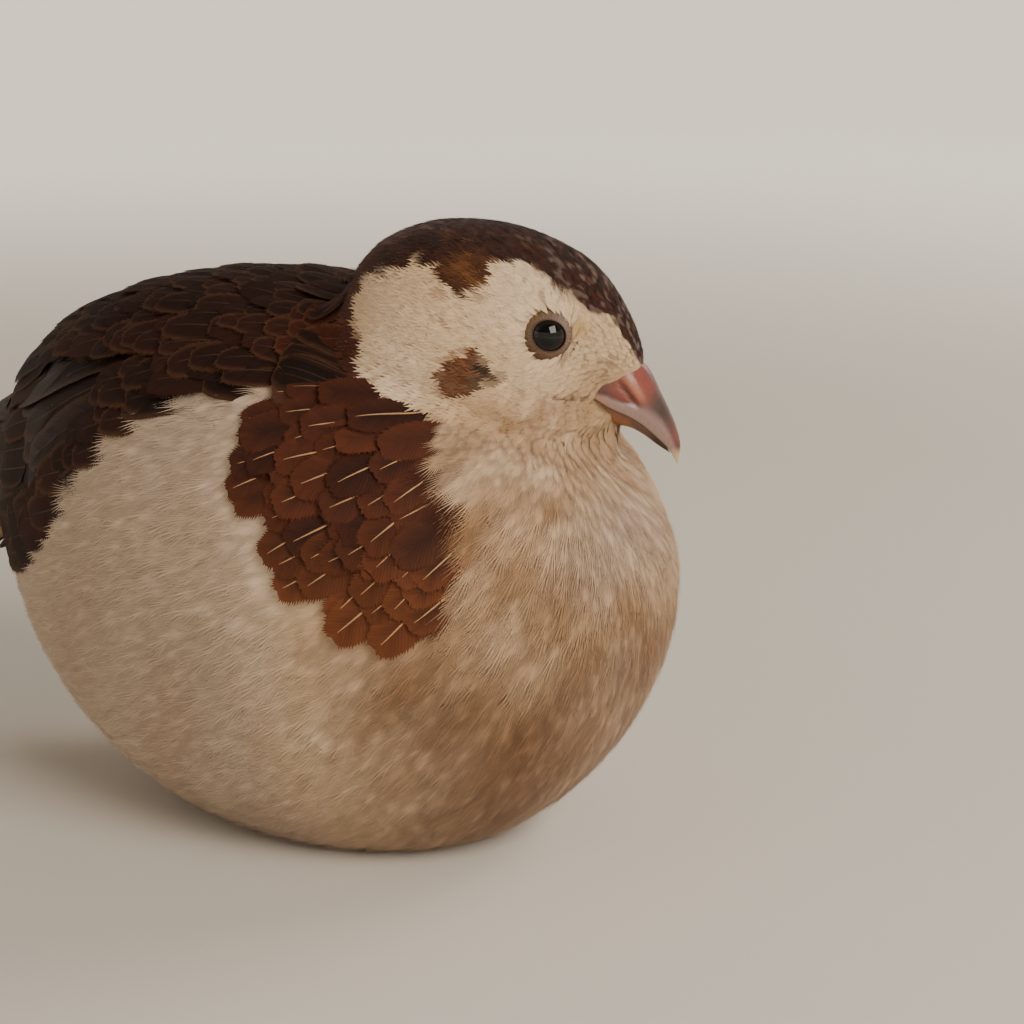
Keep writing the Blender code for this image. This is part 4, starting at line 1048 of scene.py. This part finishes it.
def smooth_between(values, count):
    """Values at evenly spaced shares of a smooth curve through the given ones, by Catmull and Rom's formula."""
    values = np.asarray(values, float)
    padded = np.concatenate([[2 * values[0] - values[1]], values, [2 * values[-1] - values[-2]]])
    spot = np.linspace(0.0, len(values) - 1.0, count)
    low = np.minimum(spot.astype(int), len(values) - 2)
    t = (spot - low).reshape((-1,) + (1,) * (values.ndim - 1))
    a, b, c, d = (padded[low + k] for k in range(4))
    return 0.5 * (2 * b + (c - a) * t + (2 * a - 5 * b + 4 * c - d) * t**2 + (3 * b - a - 3 * c + d) * t**3)


def bill_grid(sections, tip, rows, sides):
    """A bill half: each section is an arch between its round back and its cutting edge, through smooth curves of
    the sections. Up from the edge by v it is (1 - v^2.4)^(1/2) of its half width, and flat between the edges.
    Returns its points in the head's axes and v."""
    ridge = smooth_between([s[0] for s in sections] + [tip], rows)[:, None, :]
    edge = smooth_between([s[1] for s in sections] + [tip], rows)[:, None, :]
    half = smooth_between([s[2] for s in sections] + [0.08], rows)[:, None]
    angle = np.linspace(-np.pi, np.pi, sides, endpoint=False)[None, :]
    level = (np.cos(angle) + 0.25) / 1.25
    v = np.clip(level, 0.0, 1.0)
    across = np.where(level > 0.0, (1.0 - v**2.4) ** 0.5, np.sin(np.abs(angle)) / math.sin(math.acos(-0.25)))
    plane = edge + (ridge - edge) * v[..., None]
    return np.stack([plane[..., 0], half * across * np.sign(angle + 1e-9), plane[..., 1]], -1), v


def make_bill():
    """Upper and lower bill: red soft base with a lidded nostril, pale cutting edge, dark ridge, horn tip."""
    # Keratin with a thin natural polish, so the bill looks smooth and a little waxy, with faint growth mottling.
    horn = tint_material("bill keratin", 0.36, coat=0.1, grain=2600.0, bump_depth=0.00003, mottle=0.12)
    grid, v = bill_grid(UPPER_BILL, UPPER_BILL_TIP, 110, 96)
    forward, out, up = grid[..., 0], grid[..., 1].copy(), grid[..., 2]
    outer = (v > 0.02) & (np.abs(out) > 0.5)
    # The nostril's lid swells as a long lens, and the slit lies in a groove below and behind it.
    along = (forward - 12.9) * 0.59 - (up + 8.0) * 0.81
    beside = (forward - 12.9) * 0.81 + (up + 8.0) * 0.59
    lid = np.exp(-((np.abs(along) / 2.5) ** 3) - (np.abs(beside) / 1.15) ** 3) * outer
    slit = np.exp(-((np.abs(along - 0.2) / 2.3) ** 4) - ((beside + 1.35) / 0.30) ** 2) * outer
    # The band's upper edge is crisp at the gape and soft near the tip, with a fold along it over the gape.
    above = np.interp(forward, *BAND_EDGE.T) - up
    band = ease(above / (0.7 + 1.3 * ease((forward - 12.0) / 3.0)) + 0.5) * outer
    fold = np.exp(-((above / 0.35) ** 2)) * outer * ease((13.5 - forward) / 2.0)
    grid[..., 1] = out + np.sign(out) * (0.45 * lid - 0.45 * slit + 0.11 * band - 0.14 * fold)
    tint = blend(
        "#55342d",
        (BILL_RED, ease(1.35 - np.hypot((forward - 12.6) / 3.4, (up + 7.8) / 3.6))),
        # Painted highlight: a pale salmon streak down one side of the nostril's swollen lid.
        ("#a8705a", 0.85 * lid * ease((0.5 - beside) / 0.6)),
        (BILL_DARK, 0.95 * np.exp(-((forward - 16.5) / 1.7) ** 2 - ((up + 11.4) / 2.3) ** 2)),
        ("#7a3428", 0.5 * np.exp(-((forward - 18.8) ** 2) - ((up + 15.2) / 1.1) ** 2)),
        ("#463a44", 0.5 * np.exp(-((forward - 15.1) / 0.8) ** 2 - ((up + 6.4) / 1.2) ** 2)),
        ("#8a6f66", 0.92 * band),
        ("#a26a4e", 0.7 * band * ease((9.5 - forward) / 2.5)),
        (BILL_TIP, ease((-16.6 - up) / 1.6)),
        # Painted shade: the nostril's slit and the fold over the gape are darkened as if shade lay in their grooves.
        ("#3a1510", 0.9 * slit + 0.5 * fold))
    settle(closed_piece("upper_bill", from_head(grid), tint, (BILL_RED, BILL_TIP)), ("bill_upper",), horn)

    # The lower half's cutting edge is tucked up inside the upper half's.
    sections = [((low[0], low[1]), (top[0] + 0.45, top[1] + 1.1), 0.93 * half) for top, low, half in LOWER_BILL]
    grid, _ = bill_grid(sections, LOWER_BILL_TIP, 70, 64)
    forward = grid[..., 0]
    tint = blend("#85573a", ("#6b5247", ease((forward - 11.5) / 2.0)), (BILL_DARK, 0.8 * ease((forward - 14.2) / 1.8)))
    settle(closed_piece("lower_bill", from_head(grid), tint, (BILL_RED, BILL_DARK)), ("bill_lower",), horn)


# Eyes


def make_eye(side):
    """The eyeball: a sphere round the optical axis, with a slight bulge over the iris, and its bare eyelids."""
    word = "right" if side < 0 else "left"
    centre, aim, first, second = eye_axes(side)
    turn = np.linspace(0.0, np.pi, 60)[:, None]
    angle = np.linspace(-np.pi, np.pi, 72, endpoint=False)[None, :]
    radius = EYE_RADIUS * (1.0 + 0.03 * np.exp(-((turn / 0.5) ** 2)))
    out = np.sin(turn) * radius
    points = centre + (np.cos(turn) * radius)[..., None] * aim + (out * np.cos(angle))[..., None] * first
    points = points + (out * np.sin(angle))[..., None] * second
    degrees = np.degrees(turn)[1:-1]
    iris = ease((degrees - 24.0) / 3.0) * ease((44.0 - degrees) / 4.0)
    streak = 0.5 + 0.5 * np.sin(angle * 31.0) * np.sin(angle * 13.0 + 1.0)
    tint = blend("#060608", ("#24160f", iris * (0.5 + 0.5 * streak)))
    # A film of tears over a nearly black eye: mirror smooth, so that it catches small bright lights.
    wet = tint_material(f"wet cornea {word}", 0.02, mottle=0.0, specular=0.3)
    piece = closed_piece(f"eyeball_{word}", points[1:-1], tint, (tint[0, 0], tint[-1, -1]))
    settle(piece, (f"eye_{word}",), wet)

    # The lids: out from a rim near the pupil they follow the eyeball, then slope down under the feathers.
    around = np.linspace(-np.pi, np.pi, 200, endpoint=False)[:, None]
    share = np.linspace(0.0, 1.0, 18)[None, :]
    opening = LID_VISIBLE * (1.0 + 0.05 * np.cos(2.0 * around + 0.8))
    reach = opening + (LID_SKIRT - opening) * share
    beads = np.exp(-(((reach - opening - 0.42) / 0.20) ** 2)) * (0.5 + 0.5 * np.sin(around * 38.0)) ** 0.7
    beads = beads * (0.7 + 0.3 * np.sin(around * 5.0 + 1.0))
    creases = 0.05 * np.sin(around * 23.0 + 2.0 * reach) * ease((reach - 2.6) / 0.6)
    shell = EYE_RADIUS + 0.10 + 0.10 * beads + creases + 0.14 * np.exp(-(((reach - opening) / 0.22) ** 2))
    height = np.sqrt(np.maximum(shell**2 - reach**2, 0.5)) - 0.25 * ease((reach - 3.0) / 0.6)
    height = np.where(share < 0.03, height - 0.15, height)
    under = height[:, ::-1] - 0.45
    reach = np.concatenate([reach, reach[:, ::-1] + 0.06], axis=1)
    height = np.concatenate([height, under], axis=1)
    ring = centre + (reach * np.cos(around))[..., None] * first + (reach * np.sin(around))[..., None] * second
    ring = ring + height[..., None] * aim
    rows, sections = ring.shape[:2]
    quads = grid_faces(rows + 1, sections, closed=True) % (rows * sections)
    piece = new_mesh(f"eyelid_{word}", ring.reshape(-1, 3), quads)
    face_out(piece)
    tint = blend(
        "#5e4838",
        ("#755a34", 0.5 * ease(0.2 + 0.9 * np.sin(around + 1.9)) * ease((reach - 2.5) / 0.5)),
        ("#826858", 0.6 * np.concatenate([beads, np.zeros_like(beads)], axis=1)),
        ("#2c1d19", 0.85 * ease((0.28 - (reach - opening)) / 0.2)))
    set_colours(piece, "tint", tint.reshape(-1, 3))
    # Thin bare skin, dry and finely wrinkled, which makes a dull ring round the wet eye.
    lid_skin = tint_material(f"bare eyelid {word}", 0.6, grain=4200.0, bump_depth=0.00004, mottle=0.2)
    settle(piece, (), lid_skin)


# Feet


def make_feet():
    """Legs and claws keep their solids, with scales and horn."""
    # Dry overlapping scales look rough and mottled; claw horn is smoother and takes a soft light.
    finishes = {
        "leg_": tint_material("dry leg scales", 0.5, "#b08b68", 0.05, 1800.0, 0.00015, 0.2),
        "claw_": tint_material("claw keratin", 0.35, "#4a3a2e", 0.2, mottle=0.1),
    }
    for name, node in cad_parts.items():
        for start, finish in finishes.items():
            if name.startswith(start):
                node.data.materials.clear()
                node.data.materials.append(finish)


# Stage

FLAT_FLOOR, FLOOR_BEND, FLOOR_SIDES = 1200.0, 800.0, 96
PAPER, SKY, SKY_STRENGTH = "#dad2c6", "#d9d2c6", 0.27
BACKDROP_PANELS = 8
MIDDLE_OF_BIRD = (0.03, 0.0, 0.05)
CAMERA_TARGET = np.array([17.0, 10.0, 45.5])
CAMERA_AZIMUTH, CAMERA_HEIGHT = math.radians(32.0), math.radians(14.0)
CAMERA_DISTANCE = 350.0
CAMERA_LENS, SENSOR_WIDTH = 85.0, 36.0


def make_stage():
    """A pale plain floor, level and then rising all round in a quarter circle, and soft large panels."""
    bend = np.linspace(0.1, 1.5, 24)
    reach = np.concatenate([np.linspace(0.0, FLAT_FLOOR, 13), FLAT_FLOOR + FLOOR_BEND * np.sin(bend)])[:, None]
    rise = np.concatenate([np.zeros(13), FLOOR_BEND * (1.0 - np.cos(bend))])[:, None]
    angle = np.linspace(0.0, 2.0 * np.pi, FLOOR_SIDES, endpoint=False)[None, :]
    sweep = np.stack(np.broadcast_arrays(reach * np.cos(angle), reach * np.sin(angle), rise - 0.02), -1)
    floor = new_mesh("floor", sweep.reshape(-1, 3), grid_faces(len(reach), FLOOR_SIDES, closed=True))
    # Uncoated paper: matt, so that it takes soft shadows and mirrors nothing.
    paper, tree, shader = new_material("matt pale backdrop paper")
    plug(tree, shader, {"Base Color": (*linear(PAPER), 1.0), "Roughness": 0.9})
    floor.data.materials.append(paper)
    world = bpy.data.worlds.new("studio")
    bpy.context.scene.world = world
    world.use_nodes = True
    sky = world.node_tree.nodes["Background"]
    plug(world.node_tree, sky, {"Color": (*linear(SKY), 1.0), "Strength": SKY_STRENGTH})
    # Name, place, what it faces, size, power and colour.
    panels = [
        ("key panel", (0.82, -0.30, 0.56), MIDDLE_OF_BIRD, 0.5, 9.0, (1.0, 0.94, 0.86)),
        ("back panel", (0.45, 0.70, 0.60), MIDDLE_OF_BIRD, 0.5, 4.5, (1.0, 0.95, 0.88)),
        ("fill panel", (-0.45, -0.80, 0.45), MIDDLE_OF_BIRD, 0.7, 0.8, (1.0, 0.96, 0.92)),
    ]
    # A ring of them over the bird, facing away from it, keeps the paper pale all round.
    for turn in np.linspace(0.0, 2.0 * np.pi, BACKDROP_PANELS, endpoint=False):
        way = np.array([math.cos(turn), math.sin(turn), 0.0])
        panels.append(("backdrop panel", way * 0.9 + [0.0, 0.0, 0.9], way * 2.2, 0.8, 10.0, (1.0, 0.97, 0.93)))
    for name, place, aim, size, energy, colour in panels:
        lamp = bpy.data.objects.new(name, bpy.data.lights.new(name, "AREA"))
        bpy.context.scene.collection.objects.link(lamp)
        lamp.data.energy = energy
        lamp.data.size = size
        lamp.data.color = colour
        lamp.location = Vector(place)
        lamp.rotation_euler = (Vector(aim) - lamp.location).to_track_quat("-Z", "Y").to_euler()


def make_camera():
    """The photograph's view: from the bird's right front, a little above, with an 85 mm lens."""
    back = np.array([
        math.sin(CAMERA_AZIMUTH) * math.cos(CAMERA_HEIGHT),
        -math.cos(CAMERA_AZIMUTH) * math.cos(CAMERA_HEIGHT),
        math.sin(CAMERA_HEIGHT),
    ])
    camera = bpy.data.objects.new("camera", bpy.data.cameras.new("camera"))
    bpy.context.scene.collection.objects.link(camera)
    camera.location = Vector(to_frame(CAMERA_TARGET + back * CAMERA_DISTANCE))
    camera.rotation_euler = Vector(-back).to_track_quat("-Z", "Y").to_euler()
    camera.data.lens = CAMERA_LENS
    camera.data.sensor_width = SENSOR_WIDTH
    camera.data.clip_start = 0.01
    bpy.context.scene.camera = camera


make_camera()
make_stage()
make_coat(make_skin())
for wing_side in (-1, 1):
    make_wing(wing_side)
    make_eye(wing_side)
make_tail()
make_bill()
make_feet()
